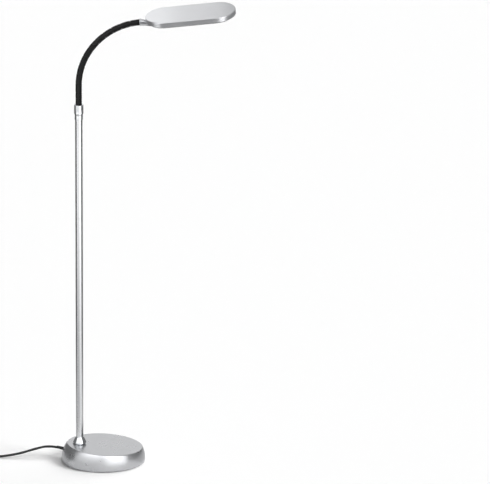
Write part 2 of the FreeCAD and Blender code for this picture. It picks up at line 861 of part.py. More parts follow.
def stadium(inset, bottom, height):
    """A slab with round ends on the head's outline, drawn in by an inset."""
    first = "head_start + head_half_width"
    last = "head_start + head_length - head_half_width"
    wide = f"head_half_width - ({inset})"
    middle = block("head_length - 2 * head_half_width", f"2 * ({wide})", height,
                   (first, f"-({wide})", bottom))
    return joined([rod(wide, height, (centre, "0", bottom)) for centre in (first, last)] + [middle])


def bevel(inset_low, inset_high, bottom, height):
    """The bevelled underside: round ends as cones, a tapered middle between them."""
    first = "head_start + head_half_width"
    last = "head_start + head_length - head_half_width"
    low = f"head_half_width - ({inset_low})"
    high = f"head_half_width - ({inset_high})"
    parts = []
    for centre in (first, last):
        cone = doc.addObject("Part::Cone", "cone")
        bind(cone, Radius1=low, Radius2=high, Height=height)
        parts.append(place(cone, (centre, "0", bottom)))
    wedge = doc.addObject("Part::Wedge", "wedge")
    run = "head_length - 2 * head_half_width"
    bind(wedge, Xmin="0", Xmax=run, X2min="0", X2max=run, Ymin="0", Ymax=height,
         Zmin=f"-({low})", Zmax=low, Z2min=f"-({high})", Z2max=high)
    parts.append(place(wedge, (first, "0", bottom), FreeCAD.Rotation(V(1, 0, 0), 90)))
    return joined(parts)


def window(grow, bottom, height):
    """The light's outline: square corners rounded at the near end, a half round at the far end."""
    corner = "window_start + window_corner"
    half = f"window_half_width + ({grow})"
    inner = "window_half_width - window_corner"
    return joined([
        block(f"window_centre - ({corner})", f"2 * ({half})", height, (corner, f"-({half})", bottom)),
        block(f"window_corner + ({grow})", f"2 * ({inner})", height,
              (f"window_start - ({grow})", f"-({inner})", bottom)),
        rod(f"window_corner + ({grow})", height, (corner, inner, bottom)),
        rod(f"window_corner + ({grow})", height, (corner, f"-({inner})", bottom)),
        rod(half, height, ("window_centre", "0", bottom)),
    ])


BOARD_SPOTS = [
    (x, f"{side} * (window_half_width - board_screw_side)")
    for x in ("window_start + board_screw_near", "window_centre")
    for side in (1, -1)
]
CONTROL_SPOTS = [
    ("control_board_start + control_screw_near", y)
    for y in (
        "control_screw_low - control_board_side",
        "control_board_width - control_board_side - control_screw_high",
    )
]


def head_shells():
    """Lower and upper shell."""
    floor = "-head_bottom + head_wall"
    edge = "-head_bottom + head_bevel_height"
    inner_edge = f"{edge} + head_wall * tan((90 deg - {BEVEL_ANGLE}) / 2)"
    lip_top = "head_seam + head_seam_gap"
    outside = joined([
        bevel("head_bevel_inset", "0", "-head_bottom", "head_bevel_height"),
        stadium("0", edge, f"head_seam - ({edge})"),
        stadium("head_seam_depth", "head_seam", "head_seam_gap"),
    ])
    tools = [
        bevel(INNER_FLOOR_INSET, "head_wall", floor, f"{inner_edge} - ({floor})"),
        stadium("head_wall", inner_edge, "head_top"),
        window("0", "-2 * head_bottom", "2 * head_bottom"),
        knuckle_form("knuckle_clearance"),
        block("2 * head_wall", "lead_notch_width", lip_top,
              ("head_start - head_wall / 2", "-lead_notch_width / 2", "lead_notch_bottom")),
        rod("button_radius + button_gap", "2 * head_bottom",
            ("button_x", "button_y", "-2 * head_bottom + button_travel")),
    ]
    for side in (1, -1):
        spot = ("head_screw_x", f"{side} * head_screw_y")
        tools.append(rod("head_screw_radius", "head_bottom", (*spot, "-head_bottom")))
        tools.append(rod("head_screw_head", "head_screw_head_height", (*spot, "-head_bottom")))
    node(cut(outside, tools), "lower_shell", HEAD)

    roof = "head_top - head_wall"
    top = number("head_top")
    cover = rounded(stadium("0", lip_top, f"head_top - ({lip_top})"), "head_top_round",
                    lambda point: point.z > top - 0.01)
    hollow = stadium("head_wall", lip_top, f"{roof} - ({lip_top})")
    bosses = []
    bores = []
    for x, y in BOARD_SPOTS:
        bottom = "led_board_bottom + board_thickness"
        bosses.append(rod("boss_radius", f"{roof} - ({bottom}) + boss_root", (x, y, bottom)))
        bores.append(rod("screw_radius", f"{roof} - ({bottom})", (x, y, bottom)))
    for x, y in CONTROL_SPOTS:
        bottom = "control_board_bottom + board_thickness"
        bosses.append(rod("boss_radius", f"{roof} - ({bottom}) + boss_root", (x, y, bottom)))
        bores.append(rod("screw_radius", f"{roof} - ({bottom})", (x, y, bottom)))
    for side in (1, -1):
        spot = ("head_screw_x", f"{side} * head_screw_y")
        bottom = f"{floor} + bracket_thickness"
        bosses.append(rod("boss_radius", f"{roof} - ({bottom}) + boss_root", (*spot, bottom)))
        bores.append(rod("head_screw_radius", f"{roof} - ({bottom})", (*spot, bottom)))
    node(cut(joined([cut(cover, [hollow])] + bosses), bores), "upper_shell", HEAD)


def light():
    """Diffuser, reflector frame, LED board and its chips and screws."""
    floor = "-head_bottom + head_wall"
    flange_top = f"{floor} + lens_flange_thickness"
    node(joined([
        window("-lens_gap", "-head_bottom", "head_wall"),
        window("lens_flange", floor, "lens_flange_thickness"),
    ]), "diffuser", HEAD)
    tall = f"led_board_bottom - ({flange_top})"
    node(cut(window("lens_flange", flange_top, tall),
             [window("lens_flange - reflector_wall", flange_top, tall)]), "reflector_frame", HEAD)
    holes = [rod("screw_radius", "board_thickness", (x, y, "led_board_bottom")) for x, y in BOARD_SPOTS]
    node(cut(window("lens_flange", "led_board_bottom", "board_thickness"), holes), "led_board", HEAD)

    run = number("window_centre - window_start")
    columns = int(run / number("chip_pitch"))
    chips = []
    for column in range(columns):
        for line in (-1.5, -0.5, 0.5, 1.5):
            chips.append(block("chip_size", "chip_size", "chip_height", (
                f"window_start + chip_margin + chip_pitch * {column}",
                f"chip_pitch * {line} - chip_size / 2",
                "led_board_bottom - chip_height",
            )))
    node(joined(chips), "led_chips", HEAD)

    screws = []
    for spots, bottom in ((BOARD_SPOTS, "led_board_bottom"), (CONTROL_SPOTS, "control_board_bottom")):
        for x, y in spots:
            screws.append(rod("screw_head_radius", "screw_head_height",
                              (x, y, f"{bottom} - screw_head_height")))
            screws.append(rod("screw_radius", "board_screw_length", (x, y, bottom)))
    node(joined(screws), "board_screws", HEAD)


def switch():
    """Control board, tact switch, driver, connector and the button."""
    holes = [
        rod("screw_radius", "board_thickness", (x, y, "control_board_bottom"))
        for x, y in CONTROL_SPOTS
    ]
    node(cut(block("control_board_length", "control_board_width", "board_thickness",
                   ("control_board_start", "-control_board_side", "control_board_bottom")), holes),
         "control_board", HEAD)
    tact = block("switch_size", "switch_size", "control_board_bottom - switch_bottom",
                 ("button_x - switch_size / 2", "button_y - switch_size / 2", "switch_bottom"))
    well = rod("plunger_radius + button_gap", "plunger_top + button_travel + button_gap - switch_bottom",
               ("button_x", "button_y", "switch_bottom"))
    node(cut(tact, [well]), "tact_switch", HEAD)
    board_top = "control_board_bottom + board_thickness"
    node(block("driver_length", "driver_width", "driver_height"), "driver_module",
         head_spot("control_board_start + driver_near", "driver_side - control_board_side", board_top))
    connector_start = "control_board_start + control_board_length - connector_length"
    connector = block("connector_length", "2 * connector_half_width",
                      "control_board_bottom + connector_bottom")
    node(connector, "lead_connector",
         head_spot(connector_start, "-connector_half_width", "-connector_bottom"))
    lead_start = "hose_end + swivel_gap"
    lead = rod("lead_radius", f"{connector_start} - ({lead_start})")
    node(lead, "head_lead", head_spot(lead_start, "0", "0", ALONG_X))

    face = "button_ring_depth"
    flange = "button_stand + head_wall + button_rest_gap"
    cap_top = f"{flange} + button_flange"
    cap = turned("button_cap", [
        ("0", "0"),
        ("button_radius * 0.22", "0"),
        ("button_radius * 0.26", face),
        ("button_radius * 0.42", face),
        ("button_radius * 0.46", "0"),
        ("button_radius * 0.66", "0"),
        ("button_radius * 0.70", face),
        ("button_radius * 0.84", face),
        ("button_radius * 0.88", "0"),
        ("button_radius - 0.5", "0"),
        ("button_radius", "0.5"),
        ("button_radius", flange),
        ("button_flange_radius", flange),
        ("button_flange_radius", cap_top),
        ("0", cap_top),
    ])
    node(cap, "button_cap", head_spot("button_x", "button_y", "-head_bottom - button_stand"))
    stem = rod("plunger_radius", f"plunger_top + head_bottom + button_stand - ({cap_top})")
    node(stem, "switch_plunger",
         head_spot("button_x", "button_y", f"{cap_top} - head_bottom - button_stand"))


# Cord route, chosen by hand: centre of the cord from inside the gland to the coil.
CORD_RUN = [
    GLAND_START + GLAND_OUT * number("gland_run"),
    V(-206.0, 27.0, 26.0),
    V(-250.0, 20.5, 13.5),
    V(-308.0, 17.0, 4.4),
]
CORD_TAIL = [
    V(-406.0, 17.0, 12.0),
    V(-431.0, -6.0, 9.0),
    V(-440.0, -38.0, 9.2),
]


# Lead route in the base, chosen by hand: distance from the pole's axis and height.
LEAD_RUN = [(34.0, 27.1), (20.3, 13.0), (0, 22.3)]


def leads():
    """Lead inside the base and the pole."""
    out = V(GLAND_START.x + number("pole_offset"), GLAND_START.y, 0)
    reach = out.Length
    out.normalize()
    foot = V(-number("pole_offset"), 0, 0)
    spots = [(reach, GLAND_START.z)] + LEAD_RUN + [(0, number("pole_lead_start"))]
    points = [foot + out * away + V(0, 0, height) for away, height in spots]
    inner = doc.addObject("Part::Feature", "inner_lead")
    inner.Shape = tube(route(points, "inner lead"), number("lead_radius"))
    node(inner, "inner_lead")
    node(rod("lead_radius", "collar_top - hose_seat_depth - pole_lead_start",
             ("-pole_offset", "0", "pole_lead_start")), "pole_lead")


def gland(shell):
    """Cord gland with its tapered strain relief."""
    depth = "gland_inner + gland_depth"
    bore = "cord_radius + tube_play"
    blank = turned("gland_blank", [
        (bore, "0"),
        ("gland_inner_radius", "0"),
        ("gland_inner_radius", "gland_inner"),
        ("gland_neck_radius - tube_play", "gland_inner"),
        ("gland_neck_radius - tube_play", f"{depth} - gland_flare_half"),
        ("gland_flare", f"{depth} - gland_flare_half"),
        ("gland_flare", f"{depth} + gland_flare_half"),
        ("gland_neck_radius", f"{depth} + 2 * gland_flare_half"),
        ("gland_tip_radius", f"{depth} + gland_length"),
        (bore, f"{depth} + gland_length"),
    ])
    blank.Placement = FreeCAD.Placement(GLAND_START, GLAND_TURN)
    relief = cut(blank, [shell])
    node(relief, "cord_gland")


def quarter_arcs(points, tangents):
    """A smooth wire through points, two arcs between each pair."""
    edges = []
    for (start, ahead), (end, onward) in zip(zip(points, tangents), list(zip(points, tangents))[1:]):
        chord = end - start
        both = ahead + onward
        dot = chord.dot(both)
        spread = 2 * (1 - ahead.dot(onward))
        reach = (-dot + math.sqrt(dot * dot + spread * chord.dot(chord))) / spread
        joint = (start + end + (ahead - onward) * reach) * 0.5
        for first, last, corner in (
            (start, joint, start + ahead * reach),
            (joint, end, end - onward * reach),
        ):
            middle = (first + last) * 0.5
            rise = corner - middle
            half = math.atan2(rise.Length, (last - first).Length / 2)
            crown = middle + rise * (math.tan(half / 2) / math.tan(half))
            edges.append(Part.Arc(first, crown, last).toShape())
    return edges


def coil():
    """The put-away cord: in along the floor, up one layer and out again."""
    centre = V(number("coil_x"), number("coil_y"), 0)
    turns = number("coil_turns")
    half = turns / 2
    outer = number("coil_outer")
    pitch = number("coil_pitch")
    low = number("cord_radius + tie_thickness + tie_floor_gap")
    layer = number("coil_layer")

    def spot(turn):
        angle = math.radians(90 + 360 * turn)
        depth = turn if turn < half else turns - turn
        climb = min(max((turn - half + 0.25) * 2, 0), 1)
        climb = climb * climb * (3 - 2 * climb)
        reach = outer - pitch * depth
        return centre + V(reach * math.cos(angle), reach * math.sin(angle), low + layer * climb)

    steps = int(turns * 4)
    points = [spot(step / 4) for step in range(steps + 1)]
    tangents = []
    for step in range(steps + 1):
        turn = step / 4
        change = spot(turn + 0.01) - spot(turn - 0.01)
        if step in (0, steps):
            change = V(-1, 0, 0)
        change.normalize()
        tangents.append(change)
    run = 2 * number("cord_radius")
    start = points[0] - tangents[0] * run
    end = points[-1] + tangents[-1] * run
    edges = [Part.makeLine(start, points[0])]
    edges += quarter_arcs(points, tangents)
    edges.append(Part.makeLine(points[-1], end))
    wire = Part.Wire(edges)
    tube_radius = number("cord_radius")

    samples = []
    along = 0
    for edge in wire.OrderedEdges:
        count = max(3, int(edge.Length / 3))
        spots = edge.discretize(count)
        for point in spots[:-1]:
            samples.append((along, point))
            along += edge.Length / (count - 1)
    gap = min(
        (a - b).Length
        for index, (here, a) in enumerate(samples)
        for there, b in samples[index + 1:]
        if there - here > 6 * tube_radius
    ) - 2 * tube_radius
    print("coil least gap", round(gap, 2), "length", round(wire.Length, 1))

    body = doc.addObject("Part::Feature", "cord_coil")
    body.Shape = tube(wire, tube_radius)
    print("coil volume", round(body.Shape.Volume / (math.pi * tube_radius ** 2 * wire.Length), 4))
    node(body, "cord_coil")
    return start, end


def cord():
    """Run, coil, tail, tie and plug."""
    start, end = coil()
    radius = number("cord_radius")
    run = doc.addObject("Part::Feature", "cord_run")
    wire = route([GLAND_START] + CORD_RUN + [start], "cord run")
    run.Shape = tube(wire, radius)
    print("run volume", round(run.Shape.Volume / (math.pi * radius ** 2 * wire.Length), 4))
    node(run, "cord_run")
    tail = doc.addObject("Part::Feature", "cord_tail")
    wire = route([end] + CORD_TAIL, "cord tail")
    tail.Shape = tube(wire, radius)
    print("tail volume", round(tail.Shape.Volume / (math.pi * radius ** 2 * wire.Length), 4))
    node(tail, "cord_tail")

    low = "tie_thickness + tie_floor_gap - tie_gap"
    high = "tie_thickness + tie_floor_gap + 2 * cord_radius + coil_layer + tie_gap"
    inner = "coil_outer - 3 * coil_pitch + coil_pitch / 2 - cord_radius - tie_side_gap"
    outer = "coil_outer - coil_pitch / 2 + cord_radius + tie_side_gap"
    wide = f"{outer} - ({inner})"
    tall = f"{high} - ({low})"
    frame = block("tie_width", f"{wide} + 2 * tie_thickness", f"{tall} + 2 * tie_thickness",
                  ("coil_x - tie_width / 2", f"coil_y - ({outer}) - tie_thickness",
                   f"{low} - tie_thickness"))
    hollow = block("tie_width", wide, tall, ("coil_x - tie_width / 2", f"coil_y - ({outer})", low))
    node(cut(frame, [hollow]), "cord_tie")

    ahead = CORD_TAIL[-1] - CORD_TAIL[-2]
    ahead.z = 0
    ahead.normalize()
    home = FreeCAD.Placement(CORD_TAIL[-1], FreeCAD.Rotation(V(1, 0, 0), ahead))
    body = turned("plug_blank", [
        ("0", "0"),
        ("cord_radius + plug_tail_wall", "0"),
        ("plug_body_radius - plug_taper", "plug_grip_start * 0.75"),
        ("plug_body_radius", "plug_grip_start"),
        ("plug_body_radius", "plug_body_length"),
        ("0", "plug_body_length"),
    ])
    body.Placement = FreeCAD.Placement(V(0, 0, 0), ALONG_X)
    grip_half = "plug_body_radius + plug_grip_stand"
    grip = block("plug_body_length - plug_grip_start", f"2 * ({grip_half})", "plug_body_radius",
                 ("plug_grip_start", f"-({grip_half})", "-plug_body_radius / 2"))
    node(joined([body, grip]), "plug_body", home)
    blades = []
    for side in (1, -1):
        spot = ("plug_body_length", f"{side} * blade_half_spacing - blade_thickness / 2", "-blade_width / 2")
        blades.append(block("blade_length", "blade_thickness", "blade_width", spot))
    node(joined(blades), "plug_blades", home)


def write():
    """Check every piece and write it to its file."""
    doc.recompute()
    for thing in doc.Objects:
        if "Invalid" in thing.State or "Error" in thing.State:
            raise SystemExit(f"{thing.Label} is {thing.State}")
    os.makedirs("parts", exist_ok=True)
    for thing in NODES:
        shape = thing.Shape
        if shape.isNull() or not shape.isValid() or not shape.Solids:
            raise SystemExit(f"{thing.Label} has no sound shape")
        shape.exportStep(f"parts/{thing.Label}.step")
    print("pieces", len(NODES))


shell = base()
clamp()
pole()
gooseneck()
swivel()
bracket()
head_shells()
light()
switch()
leads()
gland(shell)
cord()
write()
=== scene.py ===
# %% [markdown]
# # A gooseneck floor lamp
# The lamp stands on a weighted oval base. A three-part steel pole carries a ribbed gooseneck,
# and the gooseneck carries a long flat light. The CAD model fixes every size and every joint;
# this script gives it smooth shells, ribs, seams, finishes, a cord and a studio.
# Lengths are written in millimetres, as on a drawing, and turned into metres in one place.

import math

import bmesh
import bpy
from mathutils import Matrix, Vector
from mathutils.geometry import tessellate_polygon


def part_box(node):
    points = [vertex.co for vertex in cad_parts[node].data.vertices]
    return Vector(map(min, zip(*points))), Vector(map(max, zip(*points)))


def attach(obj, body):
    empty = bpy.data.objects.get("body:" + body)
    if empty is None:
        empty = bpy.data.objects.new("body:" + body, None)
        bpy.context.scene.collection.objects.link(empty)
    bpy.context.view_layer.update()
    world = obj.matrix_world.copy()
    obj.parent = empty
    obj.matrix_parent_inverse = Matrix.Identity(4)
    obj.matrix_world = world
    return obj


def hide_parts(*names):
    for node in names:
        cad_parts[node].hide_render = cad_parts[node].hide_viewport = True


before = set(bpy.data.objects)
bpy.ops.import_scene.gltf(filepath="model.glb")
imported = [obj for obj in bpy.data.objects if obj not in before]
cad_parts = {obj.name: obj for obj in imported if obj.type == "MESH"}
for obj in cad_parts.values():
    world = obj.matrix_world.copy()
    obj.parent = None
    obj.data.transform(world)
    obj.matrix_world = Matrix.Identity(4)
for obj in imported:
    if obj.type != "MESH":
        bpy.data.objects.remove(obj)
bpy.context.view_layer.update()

MM = 0.001
BASE = "base"
HEAD = "head"

# %% [markdown]
# ## The camera
# The picture was taken from far away with a long lens: the pole stays parallel to itself from
# top to bottom. A long lens at about 32 metres gives that; a wide one close by would splay the pole.
# The camera looks down by about 22 degrees, so the top of the base and of the light both show.

# %% Camera
IMAGE_WIDTH = 490
FOCAL_PIXELS = 10829.8
SENSOR_WIDTH = 36.0
FARTHEST_SEEN = 200.0
CAMERA_SPOT = Vector((199.0, -29998.8, 12735.0))
LOOK_RIGHT = 0.0075
LOOK_DOWN = 0.3813
LEAN = 0.0032

camera_data = bpy.data.cameras.new("long_lens")
camera_data.sensor_width = SENSOR_WIDTH
camera_data.lens = SENSOR_WIDTH * FOCAL_PIXELS / IMAGE_WIDTH
camera_data.clip_end = FARTHEST_SEEN
camera = bpy.data.objects.new("camera", camera_data)
bpy.context.scene.collection.objects.link(camera)
camera.matrix_world = (
    Matrix.Translation(CAMERA_SPOT * MM)
    @ Matrix.Rotation(-LOOK_RIGHT, 4, "Z")
    @ Matrix.Rotation(math.pi / 2 - LOOK_DOWN, 4, "X")
    @ Matrix.Rotation(LEAN, 4, "Z")
)
bpy.context.scene.camera = camera
bpy.context.scene.view_settings.view_transform = "Standard"
print("lens", round(camera_data.lens, 1), "mm, away", round(CAMERA_SPOT.length * MM, 1), "m")

# %% [markdown]
# ## Nodes and colours
# Colours are written the way a picture editor shows them, as sRGB hex. Blender mixes light in
# linear values, so one function turns hex into linear. One more adds a node with its settings
# and its links, which keeps each material as short as its recipe.

# %% Colour and node helpers
def linear(code):
    """sRGB hex as linear red, green, blue and alpha."""
    shades = [int(code[start:start + 2], 16) / 255 for start in (1, 3, 5)]
    return [s / 12.92 if s <= 0.04045 else ((s + 0.055) / 1.055) ** 2.4 for s in shades] + [1.0]


def add(tree, kind, inputs=None, **settings):
    """Adds a node. Settings are its own; inputs are values or other nodes' outputs."""
    node = tree.nodes.new(kind)
    for name, value in settings.items():
        setattr(node, name, value)
    for name, value in (inputs or {}).items():
        if isinstance(value, bpy.types.NodeSocket):
            tree.links.new(value, node.inputs[name])
        else:
            node.inputs[name].default_value = value
    return node


print("hex #808080 is", round(linear("#808080")[0], 3), "in linear light")

# %% [markdown]
# ## A finish with a grain
# No real surface has one flat colour. Lacquer has flakes, plastic has a spark-eroded grain, cast
# iron has a rough skin. All of them are a fine noise that mixes two near shades and lifts the
# surface a little, under broad patches where handling has polished it more or less.
# One function makes that recipe; each finish then gives its own shades, grain and gloss.

# %% The recipe for a finish
# The colour sockets of a Mix node go by number, as its float and vector sockets share their names.
FACTOR, SHADE_A, SHADE_B, SHADE_OUT = 0, 6, 7, 2
# Patches that handling has polished more or less are about as wide as three fingers, in mm.
PATCH = 35.0


def finish(name, shades, grain, relief, gloss, surface):
    """A finish of one substance.

    shades are the two colours that the grain mixes, grain is its size and relief its height in
    millimetres, gloss the least and most roughness, surface the shader's other values.
    """
    made = bpy.data.materials.new(name)
    made.use_nodes = True
    tree = made.node_tree
    tree.nodes.clear()
    place = add(tree, "ShaderNodeTexCoord").outputs["Object"]
    fine = add(tree, "ShaderNodeTexNoise", {"Vector": place, "Scale": 1 / (grain * MM), "Detail": 2.0})
    broad = add(tree, "ShaderNodeTexNoise", {"Vector": place, "Scale": 1 / (PATCH * MM), "Detail": 1.0})
    colour = add(tree, "ShaderNodeMix", {
        FACTOR: fine.outputs["Fac"], SHADE_A: linear(shades[0]), SHADE_B: linear(shades[1]),
    }, data_type="RGBA")
    polish = add(tree, "ShaderNodeMapRange", {
        "Value": broad.outputs["Fac"],
        "From Min": 0.3,
        "From Max": 0.7,
        "To Min": gloss[0],
        "To Max": gloss[1],
    })
    lift = add(tree, "ShaderNodeBump", {"Height": fine.outputs["Fac"], "Distance": relief * MM})
    shader = add(tree, "ShaderNodeBsdfPrincipled", {
        "Base Color": colour.outputs[SHADE_OUT],
        "Roughness": polish.outputs["Result"],
        "Normal": lift.outputs["Normal"],
        **surface,
    }, name="surface")
    add(tree, "ShaderNodeOutputMaterial", {"Surface": shader.outputs["BSDF"]})
    print("finish", name, *shades)
    return made


# %% [markdown]
# ## Shapes from rings
# Nearly every piece of this lamp is round or oval in one direction: tubes, bell, collar, hose,
# knuckle, base and the stadium-shaped head. Each is a stack of rings joined by faces, so one
# function that joins rings makes them all. A stack keeps its edge loops even, which gives
# clean reflections; booleans on primitives would leave long thin faces that break them.
# Every hard corner of a profile is turned into a small arc, because a real edge is never sharp
# and its rounding is what catches the light.

# %% Ring helpers
# A corner's arc takes at most this share of the shorter side next to it.
ARC_SHARE = 0.45
# A turned end closes on a ring as thin as a hair, in mm.
HAIR = 0.1


def skin(rings, loop=False, caps=(True, True)):
    """Vertices and faces of a stack of rings with equal counts."""
    count = len(rings[0])
    faces = []
    pairs = list(zip(range(len(rings)), range(1, len(rings))))
    if loop:
        pairs.append((len(rings) - 1, 0))
    for low, high in pairs:
        for step in range(count):
            onward = (step + 1) % count
            faces.append((
                low * count + step, low * count + onward, high * count + onward, high * count + step,
            ))
    if caps[0] and not loop:
        faces.append(tuple(range(count))[::-1])
    if caps[1] and not loop:
        faces.append(tuple((len(rings) - 1) * count + step for step in range(count)))
    return [point for ring in rings for point in ring], faces


def softened(corners, radius=0.4, steps=3):
    """A line of two-number corners with each inner corner turned into a small arc."""
    line = [Vector(corners[0])]
    for before, corner, after in zip(corners, corners[1:], corners[2:]):
        before, corner, after = Vector(before), Vector(corner), Vector(after)
        back = before - corner
        ahead = after - corner
        reach = min(radius, back.length * ARC_SHARE, ahead.length * ARC_SHARE)
        start = corner + back.normalized() * reach
        end = corner + ahead.normalized() * reach
        for step in range(steps + 1):
            share = step / steps
            line.append(start.lerp(corner, share).lerp(corner.lerp(end, share), share))
    line.append(Vector(corners[-1]))
    return line


def circle(radius, height, segments=64, place=Matrix()):
    """A ring across the Z axis of a place."""
    turns = [math.tau * step / segments for step in range(segments)]
    return [
        place @ Vector((radius * math.cos(turn), radius * math.sin(turn), height)) for turn in turns
    ]


def turned(profile, place=Matrix(), segments=64, loop=False, caps=(True, True)):
    """A turned piece: radius and height pairs about the Z axis of a place."""
    return skin([circle(radius, height, segments, place) for radius, height in profile], loop, caps)


def piece(name, body, material, parts, stands_for=(), crease=35):
    """A named mesh from parts in millimetres, shaded smooth up to a crease angle."""
    shape = bmesh.new()
    for points, faces in parts:
        verts = [shape.verts.new(Vector(point) * MM) for point in points]
        for face in faces:
            shape.faces.new([verts[index] for index in face])
    bmesh.ops.recalc_face_normals(shape, faces=shape.faces)
    mesh = bpy.data.meshes.new(name)
    shape.to_mesh(mesh)
    shape.free()
    mesh.shade_smooth()
    mesh.set_sharp_from_angle(angle=math.radians(crease))
    mesh.materials.append(material)
    made = bpy.data.objects.new(name, mesh)
    bpy.context.scene.collection.objects.link(made)
    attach(made, body)
    if stands_for:
        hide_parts(*stands_for)
    print("piece", name, "with", len(mesh.polygons), "faces")
    return made


def span(node):
    """Lowest and highest corner of a CAD node in millimetres."""
    low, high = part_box(node)
    return low / MM, high / MM


print("a corner softened into", len(softened([(0, 5), (5, 5), (5, 0)])) - 2, "points")

# %% [markdown]
# ## The cord
# The mains lead is soft PVC, 7.2 mm thick and 1.78 m long. It leaves the gland, arches down to
# the floor and runs out of the picture; the length that the picture doesn't show is put away in
# a neat coil with a tie. A cord bends in one smooth sweep, so it is a single NURBS curve: its
# control points are the route, and the curve rounds every corner by itself.
# Extruded PVC is smooth but soft, so it gives the eye a wide weak sheen on near black.

# %% Cord finish
CORD_RADIUS = 3.6

cord_sheath = finish(
    "PVC_cord_sheath", ("#1B1C1D", "#262728"), grain=1.2, relief=0.03, gloss=(0.45, 0.58),
    surface={"IOR": 1.53, "Specular IOR Level": 0.3},
)

# %% Cord route
GLAND_TILT = math.radians(4)
GLAND_HEADING = math.radians(24)
GLAND_OUT = Vector((
    -math.cos(GLAND_TILT) * math.cos(GLAND_HEADING),
    math.cos(GLAND_TILT) * math.sin(GLAND_HEADING),
    math.sin(GLAND_TILT),
))
GLAND_WALL = Vector((-119.0, 23.0, 28.5))
GLAND_DEPTH = 5.6
GLAND_RUN = 50.0
gland_start = GLAND_WALL - GLAND_OUT * GLAND_DEPTH

COIL_CENTRE = Vector((-368.0, -32.5, 0.0))
COIL_OUTER = 49.5
COIL_PITCH = 8.0
COIL_LAYER = 7.9
COIL_LOW = 4.8
COIL_TURNS = 6
POINTS_PER_TURN = 16


def coil_spot(turn):
    """A place on the coil: in along the floor for half its turns, then out again on top."""
    half = COIL_TURNS / 2
    depth = turn if turn < half else COIL_TURNS - turn
    # The climb to the upper layer takes half a turn, with a soft start and end.
    climb = min(max((turn - half + 0.25) * 2, 0), 1)
    climb = climb * climb * (3 - 2 * climb)
    reach = COIL_OUTER - COIL_PITCH * depth
    angle = math.radians(90 + 360 * turn)
    height = COIL_LOW + COIL_LAYER * climb
    return COIL_CENTRE + Vector((reach * math.cos(angle), reach * math.sin(angle), height))


lead_in = Vector((2 * CORD_RADIUS, 0, 0))
route = [
    gland_start,
    gland_start + GLAND_OUT * GLAND_RUN,
    Vector((-206.0, 27.0, 26.0)),
    Vector((-250.0, 20.5, 13.5)),
    Vector((-308.0, 17.0, 4.4)),
    coil_spot(0) + lead_in,
]
route += [coil_spot(step / POINTS_PER_TURN) for step in range(COIL_TURNS * POINTS_PER_TURN + 1)]
route += [
    coil_spot(COIL_TURNS) - lead_in,
    Vector((-406.0, 17.0, 12.0)),
    Vector((-431.0, -6.0, 9.0)),
    Vector((-440.0, -38.0, 9.2)),
]
print("cord control points", len(route))

# %% Cord curve
def sweep(name, points, radius, material, body, stands_for):
    """A round cord along one smooth line that its points pull into shape."""
    line = bpy.data.curves.new(name, "CURVE")
    line.dimensions = "3D"
    spline = line.splines.new("NURBS")
    spline.points.add(len(points) - 1)
    for spot, point in zip(spline.points, points):
        spot.co = (*(point * MM), 1.0)
    spline.order_u = 3
    spline.use_endpoint_u = True
    spline.resolution_u = 6
    line.bevel_depth = radius * MM
    line.bevel_resolution = 4
    line.use_fill_caps = True
    line.materials.append(material)
    made = bpy.data.objects.new(name, line)
    bpy.context.scene.collection.objects.link(made)
    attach(made, body)
    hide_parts(*stands_for)
    print("cord", name, "through", len(points), "points")
    return made


mains_lead = sweep("mains_lead", route, CORD_RADIUS, cord_sheath, BASE,
                   ["cord_run", "cord_coil", "cord_tail"])

# %% [markdown]
# ## The plug
# A moulded mains plug: the sheath flares into a body with a flatter grip near the blades. Its
# section changes from a circle to a rounded box, so each ring is a superellipse whose power
# grows along the plug. Rings with a power of 2 are circles, and those with 4 nearly boxes.
# The plug is injected PVC, harder than the sheath: a shade lighter, with a finer grain.

# %% Plug
PLUG_LENGTH = 34.0
PLUG_RADIUS = 9.0
GRIP_EXTRA = 2.0
PLUG_EDGE = 0.6

plug_plastic = finish(
    "PVC_moulded_plug", ("#262728", "#313233"), grain=0.6, relief=0.02, gloss=(0.42, 0.55),
    surface={"IOR": 1.53},
)


def superellipse(half_wide, half_tall, power, place, segments=48):
    """A ring between an ellipse and a rounded box, across the X axis of a place."""
    ring = []
    for step in range(segments):
        turn = math.tau * step / segments
        across, up = math.cos(turn), math.sin(turn)
        ring.append(place @ Vector((
            0,
            half_wide * math.copysign(abs(across) ** (2 / power), across),
            half_tall * math.copysign(abs(up) ** (2 / power), up),
        )))
    return ring


plug_heading = Vector((route[-1].x - route[-2].x, route[-1].y - route[-2].y, 0)).normalized()
plug_place = Matrix.Translation(route[-1]) @ plug_heading.to_track_quat("X", "Z").to_matrix().to_4x4()
# Each station is the way along the plug, half its breadth, half its height and its power.
plug_stations = [
    (0.0, 4.0, 4.0, 2.0), (0.4, 4.7, 4.7, 2.0), (3.0, 5.0, 5.0, 2.0), (3.4, 4.4, 4.4, 2.0),
    (4.6, 4.4, 4.4, 2.0), (5.0, 5.4, 5.4, 2.0), (7.0, 5.8, 5.7, 2.0), (7.4, 5.1, 5.1, 2.0),
    (8.6, 5.2, 5.2, 2.0), (9.0, 6.3, 6.2, 2.0), (12.0, 7.1, 6.8, 2.2), (16.0, 8.2, 7.6, 2.5),
    (20.0, 9.6, 8.3, 3.0), (24.0, 10.7, 8.8, 3.6), (28.0, PLUG_RADIUS + GRIP_EXTRA, PLUG_RADIUS, 4.0),
    (PLUG_LENGTH - PLUG_EDGE, PLUG_RADIUS + GRIP_EXTRA, PLUG_RADIUS, 4.0),
    (PLUG_LENGTH, PLUG_RADIUS + GRIP_EXTRA - PLUG_EDGE, PLUG_RADIUS - PLUG_EDGE, 4.0),
]
plug = piece("plug", BASE, plug_plastic, [skin([
    superellipse(wide, tall, power, plug_place @ Matrix.Translation((along, 0, 0)))
    for along, wide, tall, power in plug_stations
])], ["plug_body"])

